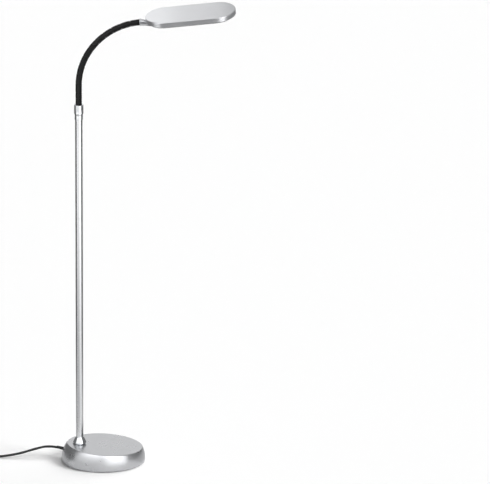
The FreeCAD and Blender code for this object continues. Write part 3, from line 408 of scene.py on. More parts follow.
# %% [markdown]
# ## The tie
# A woven strap holds the coil. It goes round the outer turns and the stack of two layers, so it
# is a thin band on a rounded box: rings across the strap's width, joined in a loop so that the
# band has an outside, an inside and two soft edges. Woven nylon has raised threads of about
# 0.9 mm and a fuzz of loose fibres, which a coarse relief and a little sheen give.

# %% Tie
strap_nylon = finish(
    "woven_nylon_strap", ("#1A1B1C", "#2B2C2E"), grain=0.9, relief=0.12, gloss=(0.7, 0.85),
    surface={"IOR": 1.53, "Sheen Weight": 0.3},
)
TIE_THICKNESS = 0.8
TIE_EDGE = 0.25
TIE_POWER = 6.0
tie_low, tie_high = span("cord_tie")
tie_centre = (tie_low + tie_high) / 2
tie_half = (tie_high - tie_low) / 2


def band(inward, offset):
    """A rounded-box ring of the tie, drawn in from its outside."""
    place = Matrix.Translation(tie_centre + Vector((offset, 0, 0)))
    return superellipse(tie_half.y - inward, tie_half.z - inward, TIE_POWER, place)


tie_rings = [band(inward, offset) for inward, offset in (
    (0, TIE_EDGE - tie_half.x),
    (0, tie_half.x - TIE_EDGE),
    (TIE_EDGE, tie_half.x),
    (TIE_THICKNESS - TIE_EDGE, tie_half.x),
    (TIE_THICKNESS, tie_half.x - TIE_EDGE),
    (TIE_THICKNESS, TIE_EDGE - tie_half.x),
    (TIE_THICKNESS - TIE_EDGE, -tie_half.x),
    (TIE_EDGE, -tie_half.x),
)]
tie = piece("tie_strap", BASE, strap_nylon, [skin(tie_rings, loop=True)], ["cord_tie"])

# %% [markdown]
# The curve, the plug, the tie and the blades are one soft thing: a cord with a free end.

print("cord leaves the base at", [round(value, 1) for value in gland_start], "mm")

# %% [markdown]
# ## The gland
# The strain relief is rubber, moulded round the lead: a flange holds it in the wall, and a
# tapered tail with slots bends with the cord so that it can't kink. It is turned on the cord's
# own axis. The slots show as grooves, so the profile steps in and out along the taper. Moulded
# rubber is a dull black that hardly shines.

# %% Gland
rubber = finish(
    "moulded_rubber", ("#1A1A1B", "#262627"), grain=0.5, relief=0.02, gloss=(0.55, 0.7),
    surface={"IOR": 1.52},
)
# Radii, from the flange inside the wall to the tip.
FLANGE = 6.5
FLARE = 6.0
NECK = 5.0
TIP = 4.3
# Lengths along the gland.
FLANGE_THICK = 2.0
FLARE_HALF = 1.5
TAIL_LENGTH = 22.0
TAIL_PLAIN = 3.0
TIP_LENGTH = 2.0
# The grooves, and the short ribs between them, which narrow a little.
GROOVES = 5
RIB_RUN = 2.0
RIB_FALL = 0.05
GROOVE_RAMP = 0.3
GROOVE_WIDE = 0.8
GROOVE_DEEP = 0.6
GLAND_ROUND = 0.3

gland_profile = [
    (CORD_RADIUS, 0), (FLANGE, 0), (FLANGE, FLANGE_THICK), (NECK, FLANGE_THICK),
    (NECK, GLAND_DEPTH - FLARE_HALF), (FLARE, GLAND_DEPTH - FLARE_HALF), (FLARE, GLAND_DEPTH + FLARE_HALF),
]
for groove in range(GROOVES):
    along = GLAND_DEPTH + TAIL_PLAIN + (TAIL_LENGTH - TAIL_PLAIN - TIP_LENGTH) * groove / GROOVES
    radius = NECK + (TIP - NECK) * groove / GROOVES
    groove_start = along + RIB_RUN + GROOVE_RAMP
    gland_profile += [
        (radius, along), (radius - RIB_FALL, along + RIB_RUN),
        (radius - GROOVE_DEEP, groove_start), (radius - GROOVE_DEEP, groove_start + GROOVE_WIDE),
    ]
tail_end = GLAND_DEPTH + TAIL_LENGTH
gland_profile += [(TIP, tail_end - TIP_LENGTH), (TIP, tail_end), (CORD_RADIUS, tail_end)]
gland_place = Matrix.Translation(gland_start) @ GLAND_OUT.to_track_quat("Z", "Y").to_matrix().to_4x4()
piece("strain_relief", BASE, rubber,
      [turned(softened(gland_profile, GLAND_ROUND), gland_place, 48)], ["cord_gland"])

# %% [markdown]
# ## Silver lacquer and plated steel
# The base cover and the light's shells are moulded plastic and the knuckle is a casting, all
# under a silver lacquer: aluminium flakes in a clear binder. The flakes lie nearly flat, so it
# shines like a brushed metal without being a mirror. Real flakes are 0.05 mm; these are drawn at
# 0.4 mm so that the close views show them. The light's lacquer is paler than the base's.
# The pole is drawn steel tube with a satin plating, whose fine brushing blurs what it mirrors.
# The bell and the collar are polished chrome, a mirror with a faint haze: it shows the white
# floor and the dark back of the room in sharp bands.

# %% Lacquered and metal finishes
silver_lacquer = finish(
    "silver_lacquer_on_ABS", ("#AFB0B3", "#C1C2C4"), grain=0.4, relief=0.003, gloss=(0.26, 0.34),
    surface={"Metallic": 0.9, "Coat Weight": 0.25, "Coat Roughness": 0.12},
)
shell_lacquer = finish(
    "silver_lacquer_on_light", ("#C4C5C8", "#D6D7D9"), grain=0.4, relief=0.003, gloss=(0.28, 0.36),
    surface={"Metallic": 0.85, "Coat Weight": 0.2, "Coat Roughness": 0.12},
)
tube_steel = finish(
    "satin_plated_steel_tube", ("#C9CACC", "#D9DADC"), grain=0.5, relief=0.002, gloss=(0.16, 0.22),
    surface={"Metallic": 1.0},
)
chrome = finish(
    "polished_chrome", ("#D3D5D8", "#DDDFE1"), grain=2.0, relief=0.001, gloss=(0.06, 0.1),
    surface={"Metallic": 1.0},
)

# %% [markdown]
# ## The base cover
# An oval dome whose flat top slopes down towards the end that the light reaches over, with a
# rounded rim. Each ring follows the oval: the side walls swell inwards as they rise, the rim is
# an arc between wall and top, and the top closes with one flat face inside a holding ring, which
# keeps the shading of the flat truly flat. The cover is built in columns, one for each
# direction, because the height at which the sloped top cuts the wall differs all round.

# %% Base cover sizes
cover_low, cover_high = span("base_shell")
HALF_LENGTH = (cover_high.x - cover_low.x) / 2
HALF_WIDTH = (cover_high.y - cover_low.y) / 2
LOWER_EDGE = 2.5
LOWER_INSET = 0.6
LOWER_ROUND = 0.6
BAND_TOP = 5.9
DOME_HEIGHT = 54.1
DOME_INSET = 20.4
FULLNESS = 0.92
TOP_HEIGHT = 51.9
TOP_SLOPE = math.tan(math.radians(3.7))
TOP_ROUND = 4.5
COVER_WALL = 3.0
# How finely it is drawn, and where the two rings lie that hold the flat's shading.
COVER_SEGMENTS = 160
WALL_RINGS = 12
RIM_RINGS = 8
HOLD_NEAR = 0.6
HOLD_FAR = 8.0
INNER_SHARES = (0.8, 0.4, 0.0)
print("base cover", round(2 * HALF_LENGTH, 1), "by", round(2 * HALF_WIDTH, 1), "mm")


# %% Base cover
def cover_point(angle, share, wall=0.0):
    """A place on the side wall, share 0 at the band and 1 at the dome's full height."""
    swell = (1 - math.sqrt(1 - (FULLNESS * share) ** 2)) / (1 - math.sqrt(1 - FULLNESS ** 2))
    inset = wall + DOME_INSET * swell
    return Vector((
        (HALF_LENGTH - inset) * math.cos(angle),
        (HALF_WIDTH - inset) * math.sin(angle),
        BAND_TOP + DOME_HEIGHT * share,
    ))


def cover_top(angle):
    """The share at which the side wall meets the sloped top, found by halving a range."""
    low, high = 0.3, 1.08
    for _ in range(24):
        middle = (low + high) / 2
        point = cover_point(angle, middle)
        if point.z < TOP_HEIGHT - point.x * TOP_SLOPE:
            low = middle
        else:
            high = middle
    return low


def rim_arc(start, corner, end, weight):
    """A true arc from start to end, pulled towards the corner by its weight."""
    arc_points = []
    for step in range(RIM_RINGS + 1):
        share = step / RIM_RINGS
        parts = (1 - share) ** 2, 2 * weight * share * (1 - share), share ** 2
        arc_points.append((start * parts[0] + corner * parts[1] + end * parts[2]) / sum(parts))
    return arc_points


def cover_column(angle):
    """One column of the cover: the outside from the lower edge onto the top, and the inside."""
    top = cover_top(angle)
    corner = cover_point(angle, top)
    up = (corner - cover_point(angle, top - 0.01)).normalized()
    inward = Vector((-corner.x, -corner.y, corner.x * TOP_SLOPE)).normalized()
    bend = up.angle(inward)
    reach = TOP_ROUND * math.tan(bend / 2)
    start, end = corner - up * reach, corner + inward * reach
    wall_top = top - reach / DOME_HEIGHT
    column = [cover_point(angle, 0, LOWER_INSET)]
    column[0].z = LOWER_EDGE
    column += [cover_point(angle, 0) - Vector((0, 0, LOWER_ROUND)), cover_point(angle, 0)]
    column += [cover_point(angle, wall_top * step / WALL_RINGS) for step in range(1, WALL_RINGS)]
    column += rim_arc(start, corner, end, math.cos(bend / 2))
    column += [end + inward * HOLD_NEAR, end + inward * HOLD_FAR]
    inner = [cover_point(angle, share * top, COVER_WALL) for share in INNER_SHARES]
    inner.append(cover_point(angle, 0, COVER_WALL + LOWER_INSET))
    inner[-1].z = LOWER_EDGE
    return column, inner


columns = [cover_column(math.tau * step / COVER_SEGMENTS) for step in range(COVER_SEGMENTS)]
outer_rings = [list(ring) for ring in zip(*(column for column, _ in columns))]
inner_rings = [list(ring) for ring in zip(*(inner for _, inner in columns))]
piece("base_cover", BASE, silver_lacquer,
      [skin(inner_rings + outer_rings)], ["base_shell"], crease=50)

# %% [markdown]
# ## Feet
# Seven soft feet hold the cover's edge off the floor, which gives the thin dark line under it.
# Six stand on a smaller oval inside the cover's and one in the middle, so a loop places them all.

# %% Feet
feet_high = span("base_feet")[1]
FOOT_HEIGHT = feet_high.z
FOOT_RADIUS = 10.0
FOOT_ROUND = 0.8
OUTER_FEET = 6
foot_inset = HALF_LENGTH - feet_high.x + FOOT_RADIUS
foot_profile = softened(
    [(HAIR, 0), (FOOT_RADIUS, 0), (FOOT_RADIUS, FOOT_HEIGHT), (HAIR, FOOT_HEIGHT)], FOOT_ROUND)
foot_spots = [Vector()]
for step in range(OUTER_FEET):
    turn = math.tau * step / OUTER_FEET
    foot_spots.append(Vector((
        (HALF_LENGTH - foot_inset) * math.cos(turn), (HALF_WIDTH - foot_inset) * math.sin(turn), 0)))
piece("feet", BASE, rubber,
      [turned(foot_profile, Matrix.Translation(spot), 40) for spot in foot_spots], ["base_feet"])
print("foot spots", [tuple(round(value, 1) for value in spot) for spot in foot_spots[:2]])

# %% [markdown]
# ## The bell
# The bell, the pole and the collar are turned on one axis. The bell is a chrome cup that hides
# the clamp: a quarter round swells from its foot to its widest, and a cone closes on the pole. A
# profile with softened corners is all that a turned piece needs.

# %% Bell
pole_low, pole_high = span("pole_lower")
AXIS = Matrix.Translation(((pole_low.x + pole_high.x) / 2, 0, 0))
POLE_RADIUS = (pole_high.x - pole_low.x) / 2
# Radii.
BELL_FOOT = 15.8
BELL_RADIUS = 20.0
BELL_RIM = 12.2
# Heights over the base's top, and the depth to which the foot is sunk in it.
BELL_WIDEST = 5.4
BELL_HEIGHT = 21.6
SHOULDER = 1.8
BELL_SUNK = 3.0
BELL_ROUND = 0.9
BELL_STEPS = 8

bell_face = TOP_HEIGHT - AXIS.translation.x * TOP_SLOPE
bell_profile = [
    (POLE_RADIUS, bell_face - BELL_SUNK), (BELL_FOOT, bell_face - BELL_SUNK), (BELL_FOOT, bell_face),
]
for step in range(1, BELL_STEPS + 1):
    turn = math.radians(90 * step / BELL_STEPS)
    bell_profile.append((
        BELL_FOOT + (BELL_RADIUS - BELL_FOOT) * math.sin(turn),
        bell_face + BELL_WIDEST * (1 - math.cos(turn)),
    ))
bell_profile += [
    (BELL_RADIUS - SHOULDER / 3, bell_face + BELL_WIDEST + SHOULDER),
    (BELL_RIM, bell_face + BELL_HEIGHT),
    (POLE_RADIUS, bell_face + BELL_HEIGHT),
]
piece("bell", BASE, chrome, [turned(softened(bell_profile, BELL_ROUND), AXIS, 96)], ["pole_bell"])

# %% [markdown]
# ## The pole
# Three lengths of plated tube meet end to end, with a fine seam at each joint. The rolled edge of
# a tube is half a millimetre wide and its wall hundreds of times as long. Smooth shading spreads
# the edge's tilt over the whole of a long face, so two rings close to the ends hold the wall
# straight: without them the metal's tone would jump at each joint.

# %% Pole tubes
TUBE_WALL = 1.2
TUBE_ROUND = 0.5
TUBE_HOLD = 1.0
for node in ("pole_lower", "pole_middle", "pole_upper"):
    low, high = span(node)
    inside = POLE_RADIUS - TUBE_WALL
    tube_profile = softened(
        [(inside, low.z), (POLE_RADIUS, low.z), (POLE_RADIUS, high.z), (inside, high.z)], TUBE_ROUND)
    halfway = len(tube_profile) // 2
    tube_profile[halfway:halfway] = [(POLE_RADIUS, low.z + TUBE_HOLD), (POLE_RADIUS, high.z - TUBE_HOLD)]
    piece(node.replace("pole_", "tube_"), BASE, tube_steel,
          [turned(tube_profile, AXIS, 96, loop=True)], [node])
    print(node, round(high.z - low.z, 1), "mm")

# %% [markdown]
# ## The collar
# A chrome sleeve joins the pole to the hose. It is straight over the pole, opens in a short cone
# and holds the hose in a socket, so its profile runs up the outside and down the inside.

# %% Collar
collar_low, collar_high = span("pole_collar")
COLLAR_RADIUS = (collar_high.x - collar_low.x) / 2
COLLAR_NECK = 12.15
COLLAR_ROUND = 0.7
# Heights over the collar's lower end: the cone's two ends and the end of the pole inside.
CONE_START = 14.0
CONE_END = 21.0
POLE_SOCKET = 18.0
# The hose's radii on its ribs and between them, its play in a socket and how deep it sits.
HOSE_CREST = 9.5
HOSE_VALLEY = 8.6
HOSE_PLAY = 0.35
SEAT_DEPTH = 6.0
LEAD_PASSAGE = 6.5

socket = HOSE_CREST + HOSE_PLAY
collar_profile = softened([
    (POLE_RADIUS, collar_low.z), (COLLAR_NECK, collar_low.z), (COLLAR_NECK, collar_low.z + CONE_START),
    (COLLAR_RADIUS, collar_low.z + CONE_END), (COLLAR_RADIUS, collar_high.z), (socket, collar_high.z),
    (socket, collar_high.z - SEAT_DEPTH), (LEAD_PASSAGE, collar_high.z - SEAT_DEPTH),
    (LEAD_PASSAGE, collar_low.z + POLE_SOCKET), (POLE_RADIUS, collar_low.z + POLE_SOCKET),
], COLLAR_ROUND)
piece("collar", BASE, chrome, [turned(collar_profile, AXIS, 96, loop=True)], ["pole_collar"])

# %% [markdown]
# ## The gooseneck
# A gooseneck is a spring-steel hose under a ribbed black sleeve. It bends anywhere along its
# length; the model gives that bending to eleven short lengths on ball ends. Each length is a
# stack of rings on the hose's own line, straight up from the collar and then one arc. The rib
# is a rounded wave of 2 mm pitch: six rings a rib are enough for its crest to catch a highlight.
# The sleeve is extruded nylon, deep black and fairly shiny, so its ribs show as light lines.

# %% Hose line and ribs
STRAIGHT = 59.8
BEND = 201.6
NECK_TURN = math.radians(84.1)
NECK_LENGTH = STRAIGHT + BEND * NECK_TURN
FIRST_PIVOT = 38.0
LINK_PITCH = 29.0
END_RECESS = 1.07
HOSE_END = 1.5
HOSE_BORE = 6.0
HOSE_SEGMENTS = 48
RIB_PITCH = 2.05
# A rib as shares of its pitch and of its height.
RIB_WAVE = ((0, 0.0), (0.12, 0.62), (0.28, 1.0), (0.62, 1.0), (0.78, 0.62), (0.9, 0.0))

hose_nylon = finish(
    "black_nylon_sleeve", ("#08080A", "#101011"), grain=1.5, relief=0.01, gloss=(0.2, 0.28),
    surface={"IOR": 1.53, "Specular IOR Level": 0.35},
)


def neck_place(along):
    """The frame at a distance along the hose: Z runs along it, Y to the back."""
    turn = min(max(0.0, (along - STRAIGHT) / BEND), NECK_TURN)
    extra = max(0.0, along - NECK_LENGTH)
    rise = min(along, STRAIGHT) + BEND * math.sin(turn) + extra * math.cos(turn)
    run = BEND * (1 - math.cos(turn)) + extra * math.sin(turn)
    spot = Vector((AXIS.translation.x + run, 0, collar_high.z + rise))
    return Matrix.Translation(spot) @ Matrix.Rotation(turn, 4, "Y")


def hose_ring(radius, along):
    """A ring across the hose."""
    return circle(radius, 0, HOSE_SEGMENTS, neck_place(along))


def ribbed(start, end):
    """A ribbed length of hose with its bore."""
    ribs = round((end - start) / RIB_PITCH)
    pitch = (end - start) / ribs
    rings = [hose_ring(HOSE_BORE, start)]
    for rib in range(ribs):
        for share, height in RIB_WAVE:
            radius = HOSE_VALLEY + (HOSE_CREST - HOSE_VALLEY) * height
            rings.append(hose_ring(radius, start + pitch * (rib + share)))
    rings += [hose_ring(HOSE_VALLEY, end), hose_ring(HOSE_BORE, end)]
    rings += [hose_ring(HOSE_BORE, end + (start - end) * share) for share in (0.25, 0.5, 0.75)]
    return skin(rings, loop=True)


pivots = []
while FIRST_PIVOT + LINK_PITCH * len(pivots) < NECK_LENGTH - LINK_PITCH / 2:
    pivots.append(FIRST_PIVOT + LINK_PITCH * len(pivots))
print("hose lengths", len(pivots) + 1, "line", round(NECK_LENGTH, 1), "mm")

# %% [markdown]
# Between two lengths the real sleeve is unbroken. Here each length ends in a hollow ball that the
# next length sits on, so the neck stays closed as it bends: the ball fills the gap that opens on
# the outside of the bend, and the gap at rest is as wide as one rib. The lead inside is a thin
# PVC wire, cut at the same places, so that each length of it moves with its own length of hose.

# %% Hose lengths, balls and the lead inside
BALL_RADIUS = 7.2
BALL_HALF = 3.8
BALL_BORE = 5.0
BALL_STEPS = 8
LEAD_RADIUS = 1.25
LEAD_SEGMENTS = 16
LEAD_STEPS = 6

lead_sheath = finish(
    "PVC_inner_lead", ("#2A2A2B", "#363637"), grain=0.8, relief=0.02, gloss=(0.4, 0.5),
    surface={"IOR": 1.53},
)
starts = [-SEAT_DEPTH] + pivots
for index, start in enumerate(starts):
    last = index == len(starts) - 1
    begin = start if index == 0 else start + END_RECESS
    end = NECK_LENGTH + HOSE_END if last else starts[index + 1] - END_RECESS
    parts = [ribbed(begin, end)]
    if not last:
        centre = neck_place(starts[index + 1])
        profile = [(BALL_BORE, -BALL_HALF)]
        for step in range(BALL_STEPS + 1):
            height = -BALL_HALF + 2 * BALL_HALF * step / BALL_STEPS
            profile.append((math.sqrt(BALL_RADIUS ** 2 - height ** 2), height))
        profile.append((BALL_BORE, BALL_HALF))
        parts.append(turned(profile, centre, HOSE_SEGMENTS, loop=True))
    body = BASE if index == 0 else f"neck_{index:02d}"
    node = "neck_hose" if index == 0 else f"neck_link_{index:02d}"
    piece(f"hose_{index:02d}", body, hose_nylon, parts, [node], crease=60)

    low = begin if index == 0 else start
    high = NECK_LENGTH + HOSE_END if last else starts[index + 1]
    lead_rings = [
        circle(LEAD_RADIUS, 0, LEAD_SEGMENTS, neck_place(low + (high - low) * step / LEAD_STEPS))
        for step in range(LEAD_STEPS + 1)
    ]
    piece(f"neck_lead_{index:02d}", body, lead_sheath, [skin(lead_rings)],
          ["neck_lead"] if index == 0 else ())

# %% [markdown]
# ## Leads in the base and the pole
# Behind the gland the cord's outer sheath is stripped and a thin lead goes on: in an upright
# plane from the gland down to the pole's foot, then up through the stud and the pole. Where it
# bends it is a curve as the cord is; where it runs straight a turned rod is enough.

# %% Leads in the base and the pole
LEAD_END_ROUND = 0.2


def straight_lead(name, body, low, high, place, stands_for):
    """A straight length of lead along the Z axis of a place."""
    profile = softened([(HAIR, low), (LEAD_RADIUS, low), (LEAD_RADIUS, high), (HAIR, high)], LEAD_END_ROUND)
    piece(name, body, lead_sheath, [turned(profile, place, LEAD_SEGMENTS)], stands_for)


foot = Vector((AXIS.translation.x, 0, 0))
lead_way = (gland_start - foot) * Vector((1, 1, 0))
lead_reach = lead_way.length
lead_way.normalize()
# The distance from the pole's axis and the height, from the gland to the stud.
inner_route = [(lead_reach, gland_start.z), (34.0, 27.1), (20.3, 13.0), (0, 22.3), (0, 45)]
sweep("inner_lead_curve", [foot + lead_way * away + Vector((0, 0, height)) for away, height in inner_route],
      LEAD_RADIUS, lead_sheath, BASE, ["inner_lead"])
pole_lead_low, pole_lead_high = span("pole_lead")
straight_lead("pole_lead_tube", BASE, pole_lead_low.z, pole_lead_high.z, AXIS, ["pole_lead"])

# %% [markdown]
# ## The head's frame
# Everything on the light is placed along the hose's end: X runs out along the light, tilted up
# by a few degrees, and Z points up through it. All its pieces use this one placement. The first
# of them is the last length of lead, which lies along X.

# %% Head placement
HEAD_ROLL = math.radians(3.2)
HEAD_LEAD_START = 1.8
quarter_turn = Matrix.Rotation(math.pi / 2, 4, "Y")
head_place = neck_place(NECK_LENGTH) @ quarter_turn.inverted() @ Matrix.Rotation(HEAD_ROLL, 4, "X")
lead_low, lead_high = span("head_lead")
head_lead_length = (lead_high.x - lead_low.x) / math.cos(math.pi / 2 - NECK_TURN)
straight_lead("head_lead_tube", HEAD, HEAD_LEAD_START, HEAD_LEAD_START + head_lead_length,
              head_place @ quarter_turn, ["head_lead"])
print("head frame X", tuple(round(value, 3) for value in head_place.to_3x3().col[0]))

# %% [markdown]
# ## The knuckle
# A zinc casting takes the hose in a round mouth, dips under the light and ends in a half ball.
# Its line is drawn through a few hoops; a spline through them gives the soft bend that a
# casting has, where straight lofts would show a kink at every hoop.

# %% Knuckle
# Each hoop is the way along the light, its centre's height and its radius.
KNUCKLE_HOOPS = [(0, 0, 10.5), (4, 0, 10.4), (14, -2.5, 9.3), (22, -5, 8.7), (30, -6.5, 8.3), (46, -6.5, 8.3)]
MOUTH_DEPTH = 3.3
MOUTH_BORE = 5.6
LIP = 0.2
LIP_SLOPE = 0.15
HIDDEN_TOP = -3.5
HIDDEN_FROM = 26.0
END_STEPS = 12


def through(stations, steps=6):
    """More stations on a smooth line through the given ones."""
    rows = [Vector(station) for station in stations]
    padded = [rows[0] * 2 - rows[1]] + rows + [rows[-1] * 2 - rows[-2]]
    line = []
    for before, start, end, after in zip(padded, padded[1:], padded[2:], padded[3:]):
        for step in range(steps):
            t = step / steps
            line.append(0.5 * (
                2 * start + (end - before) * t + (2 * before - 5 * start + 4 * end - after) * t ** 2
                + (3 * start - before - 3 * end + after) * t ** 3
            ))
    return line + [rows[-1]]


def hoop(x, z, radius):
    """A ring across the head's X axis, kept under the bracket inside the light."""
    ring = circle(radius, 0, 72, Matrix.Translation((x, 0, z)) @ Matrix.Rotation(math.pi / 2, 4, "Y"))
    if x > HIDDEN_FROM:
        ring = [Vector((point.x, point.y, min(point.z, HIDDEN_TOP))) for point in ring]
    return [head_place @ point for point in ring]


mouth_radius = KNUCKLE_HOOPS[0][2]
knuckle_rings = [hoop(MOUTH_DEPTH, 0, MOUTH_BORE), hoop(MOUTH_DEPTH, 0, socket), hoop(LIP_SLOPE, 0, socket)]
knuckle_rings += [hoop(0, 0, socket + LIP), hoop(0, 0, mouth_radius - LIP), hoop(LIP, 0, mouth_radius)]
knuckle_rings += [hoop(*station) for station in through(KNUCKLE_HOOPS)[2:]]
end_x, end_z, end_radius = KNUCKLE_HOOPS[-1]
for step in range(1, END_STEPS + 1):
    # A little short of a quarter turn, so that the half ball closes with a small face.
    turn = math.pi / 2 * step / (END_STEPS + 0.4)
    knuckle_rings.append(hoop(end_x + end_radius * math.sin(turn), end_z, end_radius * math.cos(turn)))
piece("knuckle", HEAD, silver_lacquer, [skin(knuckle_rings)], ["head_knuckle"], crease=50)

# %% [markdown]
# ## The light's shells
# Two thin mouldings with the outline of a stadium. The lower one has a wide bevel all round and
# a flat face with the window in it; the upper one is a flat lid with a soft edge. They meet in
# a seam, which is a real groove here, because a groove is what draws the fine dark line round
# the side of the real one. Outline and window are made of arcs, so their rings share one helper.

# %% Outlines
# Along the light, from the hose's end.
HEAD_START = 18.0
HEAD_LENGTH = 269.0
HEAD_HALF = 60.0
WINDOW_START = 70.9
WINDOW_CENTRE = 222.1
WINDOW_HALF = 48.0
WINDOW_CORNER = 10.0
# Heights, from the hose's axis.
UNDERSIDE = -5.5
BEVEL_TOP = 1.3
SEAM = 5.6
LID_TOP = 15.5
# Breadths and depths.
BEVEL_INSET = 9.8
SEAM_GAP = 0.8
SEAM_DEPTH = 0.9
LID_ROUND = 2.7
SHELL_WALL = 2.0
HALF_ROUND_STEPS = 48
CORNER_STEPS = 10


def outline(arcs, height):
    """A ring of arcs (centre x, centre y, radius, start, end in degrees, steps) at a height."""
    ring = []
    for x, y, radius, start, end, steps in arcs:
        for step in range(steps + 1):
            turn = math.radians(start + (end - start) * step / steps)
            spot = Vector((x + radius * math.cos(turn), y + radius * math.sin(turn), height))
            ring.append(head_place @ spot)
    return ring


def stadium(inset, height):
    """The light's outline drawn in by an inset."""
    far, near = HEAD_START + HEAD_LENGTH - HEAD_HALF, HEAD_START + HEAD_HALF
    radius = HEAD_HALF - inset
    return outline([
        (far, 0, radius, -90, 90, HALF_ROUND_STEPS),
        (near, 0, radius, 90, 270, HALF_ROUND_STEPS),
    ], height)


def window(grow, height):
    """The window's outline: small corners at the near end, a half round at the far end."""
    corner_x, corner_y = WINDOW_START + WINDOW_CORNER, WINDOW_HALF - WINDOW_CORNER
    radius = WINDOW_CORNER + grow
    return outline([
        (WINDOW_CENTRE, 0, WINDOW_HALF + grow, -90, 90, HALF_ROUND_STEPS),
        (corner_x, corner_y, radius, 90, 180, CORNER_STEPS),
        (corner_x, -corner_y, radius, 180, 270, CORNER_STEPS),
    ], height)


print("light", HEAD_LENGTH, "by", 2 * HEAD_HALF, "by", LID_TOP - UNDERSIDE, "mm")

# %% [markdown]
# The flat underside has four holes: the window, the button and two screws. Its outline and its
# holes are rings that already exist, so the face between them is filled with triangles that use
# those same points, and nothing is left open.

# %% Lower shell
BUTTON_SPOT = Vector((52.9, 27.4, 0))
BUTTON_HOLE = 10.3
SCREW_SPOTS = [Vector((35.0, side * 16.0, 0)) for side in (1, -1)]
SCREW_HEAD = 3.1
SHELL_ROUND = 0.35
# A hole's edge starts this far out on the flat.
HOLE_MARGIN = 0.5


def hole_ring(spot, radius, height, segments):
    """A ring of a round hole in the underside."""
    return circle(radius, height, segments, head_place @ Matrix.Translation(spot))


wall_line = softened([
    (SHELL_WALL, SEAM + SEAM_GAP), (SEAM_DEPTH, SEAM + SEAM_GAP), (SEAM_DEPTH, SEAM), (0, SEAM),
    (0, BEVEL_TOP), (BEVEL_INSET, UNDERSIDE), (BEVEL_INSET + 0.8, UNDERSIDE),
], SHELL_ROUND)
# Each hole's wall, from the flat into the shell: how far out it stands and how high.
window_wall = (
    (HOLE_MARGIN, UNDERSIDE), (0.15, UNDERSIDE), (0.03, UNDERSIDE + 0.1), (0, UNDERSIDE + 0.3),
    (0, UNDERSIDE + SHELL_WALL),
)
button_wall = (
    (HOLE_MARGIN, UNDERSIDE), (0.15, UNDERSIDE), (0, UNDERSIDE + 0.2), (0, UNDERSIDE + SHELL_WALL),
)
screw_wall = (
    (HOLE_MARGIN, UNDERSIDE), (0.2, UNDERSIDE), (0.1, UNDERSIDE + 0.15), (0.1, UNDERSIDE + 1.0),
)
stacks = [
    [stadium(inset, height) for inset, height in wall_line],
    [window(grow, height) for grow, height in window_wall],
    [hole_ring(BUTTON_SPOT, BUTTON_HOLE + grow, height, 64) for grow, height in button_wall],
]
for spot in SCREW_SPOTS:
    stacks.append([hole_ring(spot, SCREW_HEAD + grow, height, 32) for grow, height in screw_wall])
parts = [skin(stack, caps=(False, False)) for stack in stacks]
face_loops = [stacks[0][-1]] + [stack[0] for stack in stacks[1:]]
flat_points = [point for loop in face_loops for point in loop]
flat_local = [[head_place.inverted() @ point for point in loop] for loop in face_loops]
flat_plan = [[Vector((point.x, point.y, 0)) for point in loop] for loop in flat_local]
parts.append((flat_points, tessellate_polygon(flat_plan)))
piece("lower_shell_moulding", HEAD, shell_lacquer, parts, ["lower_shell"], crease=30)

# %% [markdown]
# The lid's rim is a quarter round of 2.7 mm. As on the base, one ring close behind the rim and
# one further in hold the flat's shading flat.

# %% Upper shell
LID_STEPS = 8
LID_HOLD_NEAR = 0.5
LID_HOLD_FAR = 6.0
lid_line = [tuple(spot) for spot in softened(
    [(SHELL_WALL, SEAM + SEAM_GAP), (0, SEAM + SEAM_GAP), (0, LID_TOP - LID_ROUND)], SHELL_ROUND)]
for step in range(1, LID_STEPS + 1):
    turn = math.radians(90 * step / LID_STEPS)
    lid_line.append((LID_ROUND * (1 - math.cos(turn)), LID_TOP - LID_ROUND * (1 - math.sin(turn))))
lid_line += [(LID_ROUND + LID_HOLD_NEAR, LID_TOP), (LID_ROUND + LID_HOLD_FAR, LID_TOP)]
inside_line = [(HEAD_HALF / 2, LID_TOP - SHELL_WALL), (SHELL_WALL, LID_TOP - SHELL_WALL)]
lid_rings = [stadium(inset, height) for inset, height in inside_line + lid_line]
piece("upper_shell_moulding", HEAD, shell_lacquer, [skin(lid_rings)], ["upper_shell"],
      crease=40)

# %% [markdown]
# ## The diffuser
# A sheet of opal acrylic, lit from behind by the LED board, with a flange that holds it in the
# shell. It glows nearly white in the middle and a little warmer and dimmer at its rim, where
# fewer chips lie behind it. The falloff is worked out from the distance to the window's middle,
# in the piece's own coordinates, so the glow turns with the head.

# %% Opal acrylic
GLOW_MIDDLE = 0.38
GLOW_RIM = 0.22
# A high power keeps the middle even and lets the glow fall only near the rim.
FALL_POWER = 4.0

opal = finish(
    "opal_acrylic", ("#DAD8D2", "#E1E0DB"), grain=1.0, relief=0.004, gloss=(0.3, 0.38),
    surface={"IOR": 1.49},
)
tree = opal.node_tree
window_end = WINDOW_CENTRE + WINDOW_HALF
window_middle = head_place @ Vector(((WINDOW_START + window_end) / 2, 0, 0)) * MM
half_run = (window_end - WINDOW_START) / 2 * MM
place = add(tree, "ShaderNodeTexCoord").outputs["Object"]
axes = add(tree, "ShaderNodeSeparateXYZ", {0: place}).outputs
away_x = add(tree, "ShaderNodeMath", {0: axes["X"], 1: window_middle.x}, operation="SUBTRACT")
share_x = add(tree, "ShaderNodeMath", {0: away_x.outputs[0], 1: half_run}, operation="DIVIDE")
share_y = add(tree, "ShaderNodeMath", {0: axes["Y"], 1: WINDOW_HALF * MM}, operation="DIVIDE")
even_x = add(tree, "ShaderNodeMath", {0: share_x.outputs[0], 1: FALL_POWER}, operation="POWER")
even_y = add(tree, "ShaderNodeMath", {0: share_y.outputs[0], 1: FALL_POWER}, operation="POWER")
rim = add(tree, "ShaderNodeMath", {0: even_x.outputs[0], 1: even_y.outputs[0]},
          operation="ADD", use_clamp=True)
